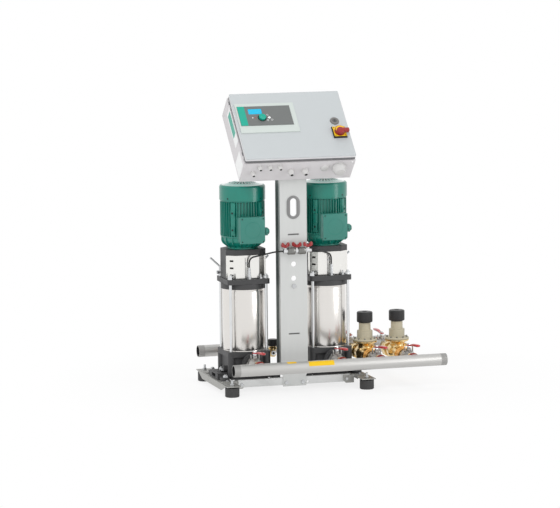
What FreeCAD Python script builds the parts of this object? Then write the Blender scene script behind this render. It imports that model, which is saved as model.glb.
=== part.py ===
# Pressure maintenance unit: two vertical pumps between two manifolds on a
# sheet metal base, two pressure reducing valves, and a tilted control
# cabinet on a column. All sizes are in millimetres, +Z is up.
# The origin is the middle of the footprint, on the floor.
import FreeCAD
import Part
import math
import os

os.makedirs("parts", exist_ok=True)
V = FreeCAD.Vector
X_DIR = V(1, 0, 0)
Y_DIR = V(0, 1, 0)
Z_DIR = V(0, 0, 1)

# Layout
manifold_length = 774.0
manifold_mid_x = 7.5
manifold_y = 235.0
manifold_z = 98.0
pumps_mid_x = -124.5
pump_pitch = 300.0
prv_first_x = pumps_mid_x + 291.0
prv_pitch = 120.0
pump_axes = [pumps_mid_x - pump_pitch / 2, pumps_mid_x + pump_pitch / 2]
prv_axes = [prv_first_x, prv_first_x + prv_pitch]

# Pipes
pipe_r = 21.2
pipe_wall = 2.6
thread_length = 22.0
thread_depth = 0.35
stub_r = 16.85
stub_bore_r = 14.2
stub_end_y = 196.0

# Base frame
sheet = 3.0
rail_top = 39.0
rail_inner = 220.0
rail_outer = 270.0
rail_half = 205.0
rail_web_low = 16.0
rail_slope_top = 178.0
rail_slope_low = 124.0
rail_lip = 8.0
rail_lip_half = 150.0
foot_r = 25.0
foot_height = 32.0
foot_x = 245.0
foot_y = 180.0
foot_stud_r = 4.0
foot_stud_top = 58.0
foot_stud_low = 14.0
beam_half = 204.0
beam_face = 115.0
beam_low = 18.7
beam_top = 45.0
beam_strip = 11.0
beam_shelf_in = 60.0
bracket_in = 178.0
bracket_end = 218.0
bracket_tab_end = 262.0
bracket_low = 14.0

# Column
column_half = 49.0
column_sheet = 2.5
column_depth = 53.0
column_tab_half = 42.5
column_tab_top = 52.0
column_side_low = 66.0
column_front = beam_face + column_sheet
tab_bolt_x = 30.0
tab_bolt_z = 27.0
hand_hole_z = 643.0
hand_hole_half = 11.0
hand_hole_height = 62.0
hand_rim_half = 25.5
hand_rim_height = 83.0
hand_rim_step = 2.0
column_slot_z = [548.0, 199.0]
column_slot_half = 20.0
column_slot_height = 5.0
column_hole_z = [444.0, 394.0]
column_hole_r = 9.0
column_bolt_z = 367.0

# Pumps
base_foot_half_x = 112.0
base_foot_half_y = 52.0
base_foot_top = 62.0
lug_x = 92.0
lug_y = 86.0
lug_r = 14.0
lug_top = 52.0
bracket_tab_in = lug_y + lug_r + 0.5
foot_bolt_r = 5.0
bolt_play = 0.5
base_body_half = 67.0
base_ring_low = 118.0
rib_half = 5.0
rib_slope = 28.0
plug_y = -20.0
plug_z = 72.0
plug_boss_r = 12.0
plug_boss_long = 16.0
plug_thread_r = 6.0
thread_into = 6.0
base_top = 137.0
sleeve_seat = 131.0
rod_at = 64.3
rod_boss_r = 13.0
rod_r = 5.3
rod_low = 118.0
rod_top = 408.0
port_r = 27.0
port_bore_r = 16.0
port_face_y = 100.0
port_flange = 8.0
port_flange_r = 34.0
port_lobe_at = 40.0
port_lobe_r = 11.0
sleeve_r = 74.0
sleeve_wall = 1.5
sleeve_top = 361.0
skirt_r = 79.0
skirt_low = 355.0
flange_low = 373.7
flange_top = 391.3
flange_half = 76.5
flange_corner = 10.0
wall_half_x = 72.0
wall_sheet = 6.0
wall_half_y = 36.0
plate_thick = 19.0
plate_low = 475.0
plate_top = plate_low + plate_thick
plate_front_x = 44.0
plate_front_y = 60.0
plate_bore_r = 30.0
shaft_r = 8.0
shaft_play = 0.05
shaft_low = 150.0
impellers = 4
impeller_r = 60.0
impeller_pitch = 45.0
coupling_r = 24.0
core_r = 40.0
fan_blades = 6
fan_hub_r = 15.0
fan_r = 62.0
guard_sheet = 1.2
guard_low = flange_top + 1.7
guard_top = plate_low - 1.0
guard_fold_x = 42.0
guard_front_y = 56.0
guard_split_x = -8.0

# Motors
bell_foot_r = 54.0
bell_foot_top = plate_top + 6.0
bell_neck_r = 50.0
bell_wide_r = 70.0
bell_tall = 36.0
bell_wide_z = plate_top + bell_tall
fin_low = bell_wide_z + 6.5
fin_tall = 118.5
fin_top = fin_low + fin_tall
fin_count = 48
fin_r = 78.0
fin_root_r = 71.5
motor_top = fin_top + 8.0
motor_bore_r = 56.0
bearing_wall = 9.0
cover_r = 80.5
cover_wall = 1.5
cover_low = fin_top + 2.0
cover_tall = 58.0
cover_edge_z = cover_low + cover_tall
cover_dome_z = cover_edge_z + 15.0
cover_slots = 16
terminal_half = 44.5
terminal_tall = 98.4
terminal_low = fin_low - 19.5
terminal_high = terminal_low + terminal_tall
terminal_front = 130.0
terminal_back = 79.0
terminal_lid = 12.0

# Valves
valve_r = 20.0
valve_hex = 40.0
ball_r = 25.0
valve_bore_r = 14.2
pump_stem_y = 136.0
prv_stem_y = 150.0
boss_top = 130.0
boss_r = 9.0
stem_r = 5.0
stem_play = 0.05
stem_low = 112.0
lever_low = 130.4
lever_hub_r = 9.0
lever_hub_top = 145.0
lever_arm_z = 141.0
lever_length = 78.0
grip_start = 30.0
grip_half = 7.0

# Pressure reducing valves
prv_y = -20.0
prv_ball_r = 34.0
prv_neck_r = 30.0
prv_rim_low = 136.0
prv_flange_low = 145.0
prv_flange_top = 153.5
prv_flange_r = 43.5
prv_lower_r = 27.5
prv_lower_top = 182.5
prv_upper_r = 20.0
prv_upper_top = 210.0
prv_cap_r = 27.5
prv_cap_low = 210.4
prv_cap_top = 249.5
prv_stem_r = 7.0

# Cabinet, measured along the door: x across, y up the door, z out of it
cabinet_tilt = 45.0
cabinet_at = V(pumps_mid_x, -224.0, 824.0)
cabinet_half = 200.0
cabinet_height = 300.0
cabinet_depth = 116.0
cabinet_sheet = 1.5
cabinet_front = -23.0
cabinet_lip = 14.0
door_half = cabinet_half - 2.0
door_edge = 2.0
door_depth = 18.0
door_corner = 4.0
hinge_z = -20.5
hinge_knuckle_r = 2.1
hinge_pin_r = 1.2
hinge_low = [20.0, 250.0]
knuckle_length = 15.0
knuckle_gap = 0.4


def box(x0, x1, y0, y1, z0, z1):
    low = V(min(x0, x1), min(y0, y1), min(z0, z1))
    return Part.makeBox(abs(x1 - x0), abs(y1 - y0), abs(z1 - z0), low)


def rod(radius, start, end):
    run = end.sub(start)
    return Part.makeCylinder(radius, run.Length, start, run)


def upright(radius, x, y, z0, z1):
    return Part.makeCylinder(radius, z1 - z0, V(x, y, z0), Z_DIR)


def polygon(points):
    ring = [V(*p) for p in points]
    return Part.Face(Part.makePolygon(ring + [ring[0]]))


def slab(points, z0, z1):
    return polygon([(x, y, z0) for x, y in points]).extrude(V(0, 0, z1 - z0))


def hex_bar(across, start, end):
    run = end.sub(start)
    corner = across / math.sqrt(3)
    ring = []
    for k in range(6):
        turn = math.radians(60 * k)
        ring.append((corner * math.cos(turn), corner * math.sin(turn)))
    bar = slab(ring, 0, run.Length)
    bar.Placement = FreeCAD.Placement(start, FreeCAD.Rotation(Z_DIR, run))
    return bar


def turned(points, x, y):
    ring = polygon([(r, 0, z) for r, z in points])
    solid = ring.revolve(V(0, 0, 0), Z_DIR, 360)
    solid.translate(V(x, y, 0))
    return solid


def fused(shapes):
    return shapes[0].multiFuse(shapes[1:]).removeSplitter()


def minus(shape, tools):
    return shape.cut(Part.makeCompound(tools))


def mirrored_y(shape):
    return shape.mirror(V(0, 0, 0), Y_DIR)


def moved(shape, x, y, z):
    copy = shape.copy()
    copy.translate(V(x, y, z))
    return copy


def spun(shape, x, y, angle):
    copy = shape.copy()
    copy.rotate(V(x, y, 0), Z_DIR, angle)
    return copy


def rounded_slab(half_x, half_y, corner, z0, z1):
    parts = [box(-half_x + corner, half_x - corner, -half_y, half_y, z0, z1),
             box(-half_x, half_x, -half_y + corner, half_y - corner, z0, z1)]
    for sx in (-1, 1):
        for sy in (-1, 1):
            parts.append(upright(corner, sx * (half_x - corner), sy * (half_y - corner), z0, z1))
    return fused(parts)


def obround(half, height, y0, y1, x, z):
    straight = height / 2 - half
    return fused([box(x - half, x + half, y0, y1, z - straight, z + straight),
                  rod(half, V(x, y0, z - straight), V(x, y1, z - straight)),
                  rod(half, V(x, y0, z + straight), V(x, y1, z + straight))])


def in_cabinet(shape):
    copy = shape.copy()
    copy.rotate(V(0, 0, 0), X_DIR, cabinet_tilt)
    copy.translate(cabinet_at)
    return copy


def save(name, *shapes):
    whole = shapes[0] if len(shapes) == 1 else Part.makeCompound(list(shapes))
    whole.exportStep("parts/" + name + ".step")


# Base frame
foot_places = [(sx * foot_x, sy * foot_y) for sx in (-1, 1) for sy in (-1, 1)]
lug_places = [(sx * lug_x, sy * lug_y) for sx in (-1, 1) for sy in (-1, 1)]
pump_bolts = [(px + dx, dy) for px in pump_axes for dx, dy in lug_places]
tab_bolt = (rail_inner + rail_outer) / 2 - 4
tab_bolt_y = (column_front + bracket_tab_in) / 2


def side_rail(side):
    inner = pumps_mid_x + side * rail_inner
    outer = pumps_mid_x + side * rail_outer
    top = box(inner, outer, -rail_half, rail_half, rail_top - sheet, rail_top)
    under = rail_top - sheet
    ends = [(-rail_half, rail_top), (-rail_half, under), (-rail_slope_top, under),
            (-rail_slope_low, rail_web_low), (rail_slope_low, rail_web_low),
            (rail_slope_top, under), (rail_half, under), (rail_half, rail_top)]
    web = polygon([(outer, y, z) for y, z in ends]).extrude(V(-side * sheet, 0, 0))
    lip = box(inner, inner + side * sheet, -rail_lip_half, rail_lip_half, rail_top - rail_lip, rail_top)
    holes = []
    for sy in (-1, 1):
        holes.append(upright(foot_stud_r + bolt_play, pumps_mid_x + side * foot_x, sy * foot_y, 0, beam_top))
        holes.append(upright(sheet + bolt_play, pumps_mid_x + side * tab_bolt, sy * tab_bolt_y, 0, beam_top))
        holes.append(upright(foot_bolt_r + bolt_play, pumps_mid_x + side * (pump_pitch / 2 + lug_x),
                             sy * lug_y, 0, beam_top))
    return minus(fused([top, web, lip]), holes)


save("side_rail_left", side_rail(-1))
save("side_rail_right", side_rail(1))

bracket_bolt_x = (bracket_in + beam_half) / 2
bracket_bolt_z = 29.0
small_bolt_r = 3.0
tab_bolt_r = 4.0
inspection_hole_x = 48.6


def beam(extra_holes):
    left = pumps_mid_x - beam_half
    right = pumps_mid_x + beam_half
    inner = -beam_face + beam_strip
    shape = fused([box(left, right, -beam_face, -beam_face + sheet, beam_low, beam_top),
                   box(left, right, -beam_face, inner, beam_top - sheet, beam_top),
                   box(left, right, inner - sheet, inner, rail_top - sheet, beam_top),
                   box(left, right, inner - sheet, -beam_shelf_in, rail_top - sheet, rail_top)])
    holes = list(extra_holes)
    for side in (-1, 1):
        bolt_x = pumps_mid_x + side * bracket_bolt_x
        holes.append(rod(small_bolt_r + bolt_play, V(bolt_x, -beam_face - sheet, bracket_bolt_z),
                         V(bolt_x, -beam_shelf_in, bracket_bolt_z)))
        holes.append(upright(foot_bolt_r + bolt_play, pumps_mid_x + side * (pump_pitch / 2 - lug_x),
                             -lug_y, 0, beam_top))
    return minus(shape, holes)


tab_holes = []
for x, r in ((-tab_bolt_x, tab_bolt_r + bolt_play), (tab_bolt_x, tab_bolt_r + bolt_play),
             (inspection_hole_x, tab_bolt_r)):
    tab_holes.append(rod(r, V(pumps_mid_x + x, -column_front - sheet, tab_bolt_z),
                         V(pumps_mid_x + x, -beam_face + 2 * sheet, tab_bolt_z)))
save("front_beam", beam(tab_holes))
save("rear_beam", mirrored_y(beam([])))


def bracket(side, lap_front):
    face = -beam_face - sheet if lap_front else -beam_face + sheet
    corner = 10.0
    outline = [(bracket_in, rail_top + sheet), (bracket_end, rail_top + sheet), (bracket_end, bracket_low),
               (bracket_in + corner, bracket_low), (bracket_in, bracket_low + corner)]
    wall = polygon([(pumps_mid_x + side * x, face, z) for x, z in outline]).extrude(V(0, sheet, 0))
    tab = box(pumps_mid_x + side * (beam_half + bolt_play), pumps_mid_x + side * bracket_tab_end,
              -column_front, -bracket_tab_in, rail_top, rail_top + sheet)
    bolt_x = pumps_mid_x + side * bracket_bolt_x
    holes = [rod(small_bolt_r + bolt_play, V(bolt_x, face - sheet, bracket_bolt_z),
                 V(bolt_x, face + 2 * sheet, bracket_bolt_z)),
             upright(small_bolt_r + bolt_play, pumps_mid_x + side * tab_bolt, -tab_bolt_y, 0, beam_top)]
    return minus(fused([wall, tab]), holes)


front_brackets = [bracket(-1, False), bracket(1, True)]
save("beam_brackets", *(front_brackets + [mirrored_y(b) for b in front_brackets]))

foot_edge = 2.0
rubber = turned([(0, 0), (foot_r - foot_edge, 0), (foot_r, foot_edge), (foot_r, foot_height),
                 (foot_stud_r, foot_height), (foot_stud_r, foot_stud_low), (0, foot_stud_low)], 0, 0)
save("rubber_feet", *[moved(rubber, pumps_mid_x + x, y, 0) for x, y in foot_places])


def nut(across, x, y, z0, z1):
    return hex_bar(across, V(x, y, z0), V(x, y, z1))


stud_nut = 13.0
bolt_nut = 16.0
small_head = 10.0
bolts = []
for x, y in foot_places:
    at = pumps_mid_x + x
    bolts.append(fused([upright(foot_stud_r, at, y, foot_stud_low, foot_stud_top),
                        nut(stud_nut, at, y, foot_height, rail_top - sheet),
                        nut(stud_nut, at, y, rail_top, rail_top + 7)]))
for x, y in pump_bolts:
    bolts.append(fused([upright(foot_bolt_r, x, y, rail_top - sheet - 10, lug_top + 11),
                        nut(bolt_nut, x, y, rail_top - sheet - 8, rail_top - sheet),
                        nut(bolt_nut, x, y, lug_top, lug_top + 8)]))
for side in (-1, 1):
    at = pumps_mid_x + side * tab_bolt
    tab_screw = fused([upright(small_bolt_r, at, -tab_bolt_y, rail_top - sheet - 6, rail_top + sheet + 5),
                       nut(small_head, at, -tab_bolt_y, rail_top - sheet - 5, rail_top - sheet),
                       nut(small_head, at, -tab_bolt_y, rail_top + sheet, rail_top + sheet + 4)])
    at = pumps_mid_x + side * bracket_bolt_x
    front = -beam_face - sheet if side > 0 else -beam_face
    back = front + 2 * sheet
    lap_screw = fused([rod(small_bolt_r, V(at, front - 4, bracket_bolt_z), V(at, back + 6, bracket_bolt_z)),
                       hex_bar(small_head, V(at, front - 4, bracket_bolt_z), V(at, front, bracket_bolt_z)),
                       hex_bar(small_head, V(at, back, bracket_bolt_z), V(at, back + 5, bracket_bolt_z))])
    bolts += [tab_screw, lap_screw, mirrored_y(tab_screw), mirrored_y(lap_screw)]
for x in (-tab_bolt_x, tab_bolt_x):
    at = pumps_mid_x + x
    bolts.append(fused([rod(tab_bolt_r, V(at, -column_front - 4, tab_bolt_z),
                            V(at, -beam_face + sheet + 8, tab_bolt_z)),
                        rod(6.5, V(at, -column_front - 4, tab_bolt_z), V(at, -column_front, tab_bolt_z)),
                        hex_bar(stud_nut, V(at, -beam_face + sheet, tab_bolt_z),
                                V(at, -beam_face + sheet + 6, tab_bolt_z))]))
bolts.append(fused([hex_bar(14.0, V(pumps_mid_x, -column_front - 5, column_bolt_z),
                            V(pumps_mid_x, -column_front, column_bolt_z)),
                    rod(tab_bolt_r, V(pumps_mid_x, -column_front - 5, column_bolt_z),
                        V(pumps_mid_x, -column_front + column_sheet + 8, column_bolt_z)),
                    hex_bar(stud_nut, V(pumps_mid_x, -column_front + column_sheet, column_bolt_z),
                            V(pumps_mid_x, -column_front + column_sheet + 6, column_bolt_z))]))
head_plate_half = 62.0
head_plate_low = 26.0
head_plate_high = 112.0
head_plate_back = -cabinet_depth - sheet
head_bolts = [(sx * 56.0, y) for sx in (-1, 1) for y in (head_plate_low + 12, head_plate_high - 12)]
for x, y in head_bolts:
    inside = -cabinet_depth + cabinet_sheet
    bolts.append(in_cabinet(fused([rod(small_bolt_r, V(x, y, head_plate_back - 4), V(x, y, inside + 5)),
                                   hex_bar(small_head, V(x, y, head_plate_back - 4), V(x, y, head_plate_back)),
                                   hex_bar(small_head, V(x, y, inside), V(x, y, inside + 4))])))
save("frame_bolts", *bolts)

# Column
column_left = pumps_mid_x - column_half
column_right = pumps_mid_x + column_half
column_tall = 900.0
front_sheet = polygon([(x, -column_front, z) for x, z in (
    (pumps_mid_x - column_tab_half, bracket_low), (pumps_mid_x + column_tab_half, bracket_low),
    (pumps_mid_x + column_tab_half, column_tab_top), (column_right, column_tab_top + 7),
    (column_right, column_tall), (column_left, column_tall), (column_left, column_tab_top + 7),
    (pumps_mid_x - column_tab_half, column_tab_top))]).extrude(V(0, column_sheet, 0))
column_back = -column_front + column_depth
column_parts = [front_sheet]
for side in (-1, 1):
    face = pumps_mid_x + side * column_half
    column_parts.append(box(face, face - side * column_sheet, -column_front, column_back,
                            column_side_low, column_tall))
column_parts.append(obround(hand_rim_half, hand_rim_height, -column_front - hand_rim_step,
                            -column_front, pumps_mid_x, hand_hole_z))
column_cuts = list(tab_holes)
column_cuts.append(obround(hand_hole_half, hand_hole_height, -column_front - 9, -column_front + 9,
                           pumps_mid_x, hand_hole_z))
for z in column_slot_z:
    column_cuts.append(box(pumps_mid_x - column_slot_half, pumps_mid_x + column_slot_half,
                           -column_front - 9, -column_front + 9,
                           z - column_slot_height / 2, z + column_slot_height / 2))
for z in column_hole_z:
    column_cuts.append(rod(column_hole_r, V(pumps_mid_x, -column_front - 9, z),
                           V(pumps_mid_x, -column_front + 9, z)))
sensor_x = pumps_mid_x + 2.5
sensor_z = 494.0
sensor_y = -145.0
nipple_r = 5.0
for x, z, r in ((pumps_mid_x, column_bolt_z, tab_bolt_r), (sensor_x, sensor_z, nipple_r)):
    column_cuts.append(rod(r, V(x, -column_front - 9, z), V(x, -column_front + 9, z)))
column_cuts.append(in_cabinet(box(-300, 300, -300, 600, head_plate_back, 300)))
column_shape = minus(fused(column_parts), column_cuts)
head_plate = box(-head_plate_half, head_plate_half, head_plate_low, head_plate_high,
                 head_plate_back, -cabinet_depth)
head_plate = minus(head_plate, [rod(small_bolt_r + bolt_play, V(x, y, head_plate_back - 9),
                                    V(x, y, -cabinet_depth + 9)) for x, y in head_bolts])
save("column", fused([column_shape, in_cabinet(head_plate)]))

# Sensor tee in front of the column, with its three small valves
tee_r = 9.0
sensor_r = 13.0
nozzle_r = 7.0
cable_r = 2.2
stem_small_r = 3.0
tee_left = -45.0
tee_right = 56.0
sensor_spans = [(-30.0, -3.0), (8.0, 36.0)]
wing_places = [-37.5, 3.5, 44.0]
wing_low = 505.0
wing_hub_low = wing_low + 0.4


def across(x):
    return V(pumps_mid_x + x, sensor_y, sensor_z)


tee_parts = [rod(nozzle_r, across(tee_left), across(tee_right)),
             rod(tee_r, across(sensor_spans[0][1]), across(sensor_spans[1][0])),
             rod(tee_r, V(sensor_x, sensor_y, sensor_z), V(sensor_x, -column_front, sensor_z)),
             rod(nipple_r, V(sensor_x, sensor_y, sensor_z), V(sensor_x, -column_front + 9, sensor_z)),
             rod(tee_r, V(sensor_x, -column_front + column_sheet, sensor_z),
                 V(sensor_x, -column_front + 9, sensor_z))]
tee_cuts = []
for x in wing_places:
    tee_parts.append(upright(6.0, pumps_mid_x + x, sensor_y, sensor_z, wing_low))
    tee_cuts.append(upright(stem_small_r + stem_play, pumps_mid_x + x, sensor_y, sensor_z + 4, wing_low + 9))
for x in (tee_left, tee_right):
    inward = 12 if x < 0 else -12
    tee_cuts.append(rod(cable_r, across(x), across(x + inward)))
tee_shape = minus(fused(tee_parts), tee_cuts)
save("sensor_tee", tee_shape)
sensor_bodies = []
for x0, x1 in sensor_spans:
    sensor_bodies.append(minus(rod(sensor_r, across(x0), across(x1)), [tee_shape]))
save("pressure_sensors", *sensor_bodies)


def wing_handle(x):
    at = pumps_mid_x + x
    hub = upright(4.5, at, sensor_y, wing_hub_low, wing_hub_low + 9)
    stem = upright(stem_small_r, at, sensor_y, sensor_z + 5, wing_hub_low)
    blade = polygon([(at + px, sensor_y - 2, wing_hub_low + pz) for px, pz in (
        (-12, 5), (-12, 15), (-8, 16), (0, 8), (8, 16), (12, 15), (12, 5), (0, 1))])
    return fused([hub, stem, blade.extrude(V(0, 4, 0))])


for name, x, turn in (("left", wing_places[0], 25), ("middle", wing_places[1], -35),
                      ("right", wing_places[2], 0)):
    save("wing_handle_" + name, spun(wing_handle(x), pumps_mid_x + x, sensor_y, turn))

# Pumps
cavity_r = 50.0
cavity_low = 66.0
pocket_half = 23.0
pocket_depth = 15.0


def port_flange_shape(side):
    y0 = side * (port_face_y - port_flange)
    y1 = side * port_face_y
    parts = [rod(port_flange_r, V(0, y0, manifold_z), V(0, y1, manifold_z))]
    lean = port_lobe_at * math.sqrt(0.5)
    for s in (-1, 1):
        parts.append(rod(port_lobe_r, V(s * lean, y0, manifold_z + s * lean),
                         V(s * lean, y1, manifold_z + s * lean)))
    return fused(parts)


def pump_base():
    parts = [box(-base_foot_half_x, base_foot_half_x, -base_foot_half_y, base_foot_half_y,
                 rail_top, base_foot_top),
             box(-base_body_half, base_body_half, -base_body_half, base_body_half, rail_top, base_ring_low),
             rounded_slab(rod_at + rod_boss_r, rod_at + rod_boss_r, rod_boss_r, base_ring_low, base_top)]
    for x, y in lug_places:
        side_x = math.copysign(1, x)
        side_y = math.copysign(1, y)
        parts.append(upright(lug_r, x, y, rail_top, lug_top))
        parts.append(box(x - lug_r, x + lug_r, side_y * base_foot_half_y, y, rail_top, lug_top))
        parts.append(upright(rod_boss_r, side_x * rod_at, side_y * rod_at, lug_top, base_top))
    parts.append(rod(port_r, V(0, -port_face_y, manifold_z), V(0, port_face_y, manifold_z)))
    parts += [port_flange_shape(-1), port_flange_shape(1)]
    for side in (-1, 1):
        for lean in (-1, 1):
            rib = box(0, base_body_half - 6, -rib_half, rib_half, -rib_half, rib_half)
            rib.rotate(V(0, 0, 0), Y_DIR, 90 - lean * (90 - rib_slope))
            rib.translate(V(0, side * base_body_half, manifold_z - 6))
            parts.append(rib)
    plug_end = -base_body_half - plug_boss_long
    parts.append(rod(plug_boss_r, V(-base_body_half + 6, plug_y, plug_z), V(plug_end, plug_y, plug_z)))
    cuts = [upright(cavity_r, 0, 0, cavity_low, base_top), upright(sleeve_r, 0, 0, sleeve_seat, base_top),
            rod(plug_thread_r, V(plug_end, plug_y, plug_z), V(plug_end + thread_into, plug_y, plug_z))]
    for side in (-1, 1):
        cuts.append(rod(port_bore_r, V(0, side * port_face_y, manifold_z), V(0, side * 30, manifold_z)))
        cuts.append(box(side * base_foot_half_x, side * (base_foot_half_x - pocket_depth),
                        -pocket_half, pocket_half, rail_top + 6, base_foot_top - 5))
    for x, y in lug_places:
        cuts.append(upright(foot_bolt_r + bolt_play, x, y, 0, lug_top))
        cuts.append(upright(rod_r, math.copysign(rod_at, x), math.copysign(rod_at, y), rod_low, base_top))
    return minus(fused(parts), cuts)


def sleeve():
    return minus(upright(sleeve_r, 0, 0, sleeve_seat, sleeve_top),
                 [upright(sleeve_r - sleeve_wall, 0, 0, sleeve_seat, sleeve_top)])


def plate_outline():
    return [(-wall_half_x, -wall_half_y), (-plate_front_x, -plate_front_y), (plate_front_x, -plate_front_y),
            (wall_half_x, -wall_half_y), (wall_half_x, wall_half_y), (plate_front_x, plate_front_y),
            (-plate_front_x, plate_front_y), (-wall_half_x, wall_half_y)]


fitting_x = -70.0
fitting_y = 46.0
probe_x = 3.0
probe_y = -68.0
vent_x = 45.0
vent_y = -66.0
probe_top = 432.0


def pump_head():
    parts = [upright(skirt_r, 0, 0, skirt_low, flange_low),
             rounded_slab(flange_half, flange_half, flange_corner, flange_low, flange_top),
             slab(plate_outline(), plate_low, plate_top)]
    for side in (-1, 1):
        parts.append(box(side * wall_half_x, side * (wall_half_x - wall_sheet), -wall_half_y, wall_half_y,
                         flange_top, plate_low))
    cuts = [upright(sleeve_r, 0, 0, skirt_low, sleeve_top),
            upright(cavity_r, 0, 0, sleeve_top, flange_low),
            upright(shaft_r + shaft_play, 0, 0, sleeve_top, flange_top),
            upright(plate_bore_r, 0, 0, plate_low, plate_top)]
    for x, y in lug_places:
        cuts.append(upright(rod_r + bolt_play, math.copysign(rod_at, x), math.copysign(rod_at, y),
                            flange_low, flange_top))
    for x, y in ((fitting_x, fitting_y), (probe_x, probe_y), (vent_x, vent_y), (-fitting_x, fitting_y)):
        cuts.append(upright(3.0, x, y, flange_top - thread_into, flange_top))
    return minus(fused(parts), cuts)


def motor_housing():
    bell = turned([(0, plate_top), (bell_foot_r, plate_top), (bell_foot_r, bell_foot_top),
                   (bell_neck_r, bell_foot_top), (bell_wide_r, bell_wide_z), (fin_r - 1, fin_low),
                   (0, fin_low)], 0, 0)
    ring = []
    step = 360.0 / fin_count
    for k in range(fin_count):
        for share, radius in ((-0.28, fin_root_r), (-0.16, fin_r), (0.16, fin_r), (0.28, fin_root_r)):
            turn = math.radians(step * (k + 0.5 + share))
            ring.append((radius * math.cos(turn), radius * math.sin(turn)))
    parts = [bell, slab(ring, fin_low, fin_top),
             upright(cover_r - cover_wall, 0, 0, fin_top, motor_top),
             box(-30, 30, -terminal_back, -fin_root_r + 8, fin_low + 3.5, terminal_high - 15)]
    cuts = []
    for sx in (-1, 1):
        for z in (fin_low + 28.5, fin_top - 31):
            boss = box(46, 64, -66, -48, z - 11, z + 11)
            hole = box(50, 60, -66, -60, z - 6, z + 6)
            parts.append(boss if sx > 0 else boss.mirror(V(0, 0, 0), X_DIR))
            cuts.append(hole if sx > 0 else hole.mirror(V(0, 0, 0), X_DIR))
    cuts += [upright(motor_bore_r, 0, 0, plate_top + bearing_wall + 12, fin_top),
             upright(plate_bore_r, 0, 0, plate_top + bearing_wall, plate_top + bearing_wall + 12),
             upright(shaft_r + shaft_play, 0, 0, plate_top, motor_top)]
    return minus(fused(parts), cuts)


def fan_cover():
    inner = cover_r - cover_wall
    shell = turned([(inner, cover_low), (cover_r, cover_low), (cover_r, cover_edge_z),
                    (cover_r - 6, cover_edge_z + 6), (50, cover_dome_z - 3), (16, cover_dome_z),
                    (0, cover_dome_z), (0, cover_dome_z - cover_wall), (16, cover_dome_z - cover_wall),
                    (50, cover_dome_z - 3 - cover_wall), (inner - 6, cover_edge_z + 5),
                    (inner, cover_edge_z - 1)], 0, 0)
    cuts = []
    for k in range(cover_slots):
        for r0, r1, turn in ((20, 44, 0), (47, 68, 0.5)):
            cuts.append(spun(box(r0, r1, -2.6, 2.6, cover_edge_z, cover_dome_z + 2), 0, 0,
                             (k + turn) * 360.0 / cover_slots))
    return minus(shell, cuts)


def rotor():
    fan_low = motor_top + 9
    parts = [upright(shaft_r, 0, 0, shaft_low, fan_low + 30),
             upright(coupling_r, 0, 0, flange_top + 14, plate_low - 10),
             upright(core_r, 0, 0, fin_low - 6, fin_top - 15),
             upright(fan_hub_r, 0, 0, fan_low, fan_low + 18)]
    for k in range(impellers):
        low = shaft_low + 10 + impeller_pitch * k
        parts.append(upright(impeller_r, 0, 0, low, low + 10))
    for k in range(fan_blades):
        blade = box(fan_hub_r - 5, fan_r, -1.5, 1.5, fan_low, fan_low + 26)
        parts.append(spun(blade, 0, 0, 360.0 / fan_blades * k))
    return fused(parts)


def tie_rods():
    return [fused([upright(rod_r, sx * rod_at, sy * rod_at, rod_low, rod_top),
                   nut(17.0, sx * rod_at, sy * rod_at, flange_top, flange_top + 11)])
            for sx in (-1, 1) for sy in (-1, 1)]


def guard():
    wall_in = wall_half_x - wall_sheet
    bend = guard_sheet / 3
    inner = [(-wall_half_x, -wall_half_y), (-wall_in, -wall_half_y), (-guard_fold_x, -guard_front_y),
             (guard_fold_x, -guard_front_y), (wall_in, -wall_half_y), (wall_half_x, -wall_half_y)]
    outer = [(wall_half_x, -wall_half_y - guard_sheet), (wall_in + bend, -wall_half_y - guard_sheet),
             (guard_fold_x + bend, -guard_front_y - guard_sheet),
             (-guard_fold_x - bend, -guard_front_y - guard_sheet),
             (-wall_in - bend, -wall_half_y - guard_sheet), (-wall_half_x, -wall_half_y - guard_sheet)]
    sheet_shape = slab(inner + outer, guard_low, guard_top)
    middle = V((wall_in + guard_fold_x) / -2, (wall_half_y + guard_front_y) / -2, 0)
    angle = -math.degrees(math.atan2(guard_front_y - wall_half_y, wall_in - guard_fold_x))
    cuts = [box(guard_split_x - 0.8, guard_split_x + 0.8, -guard_front_y - 9, -guard_front_y + 9,
                guard_low, guard_top - 8)]
    for z in (guard_low + 12, guard_low + 37, guard_low + 62):
        slot = box(-7, 7, -9, 9, z - 3, z + 3)
        slot.rotate(V(0, 0, 0), Z_DIR, angle)
        slot.translate(middle)
        cuts.append(slot)
    return minus(sheet_shape, cuts)


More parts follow.
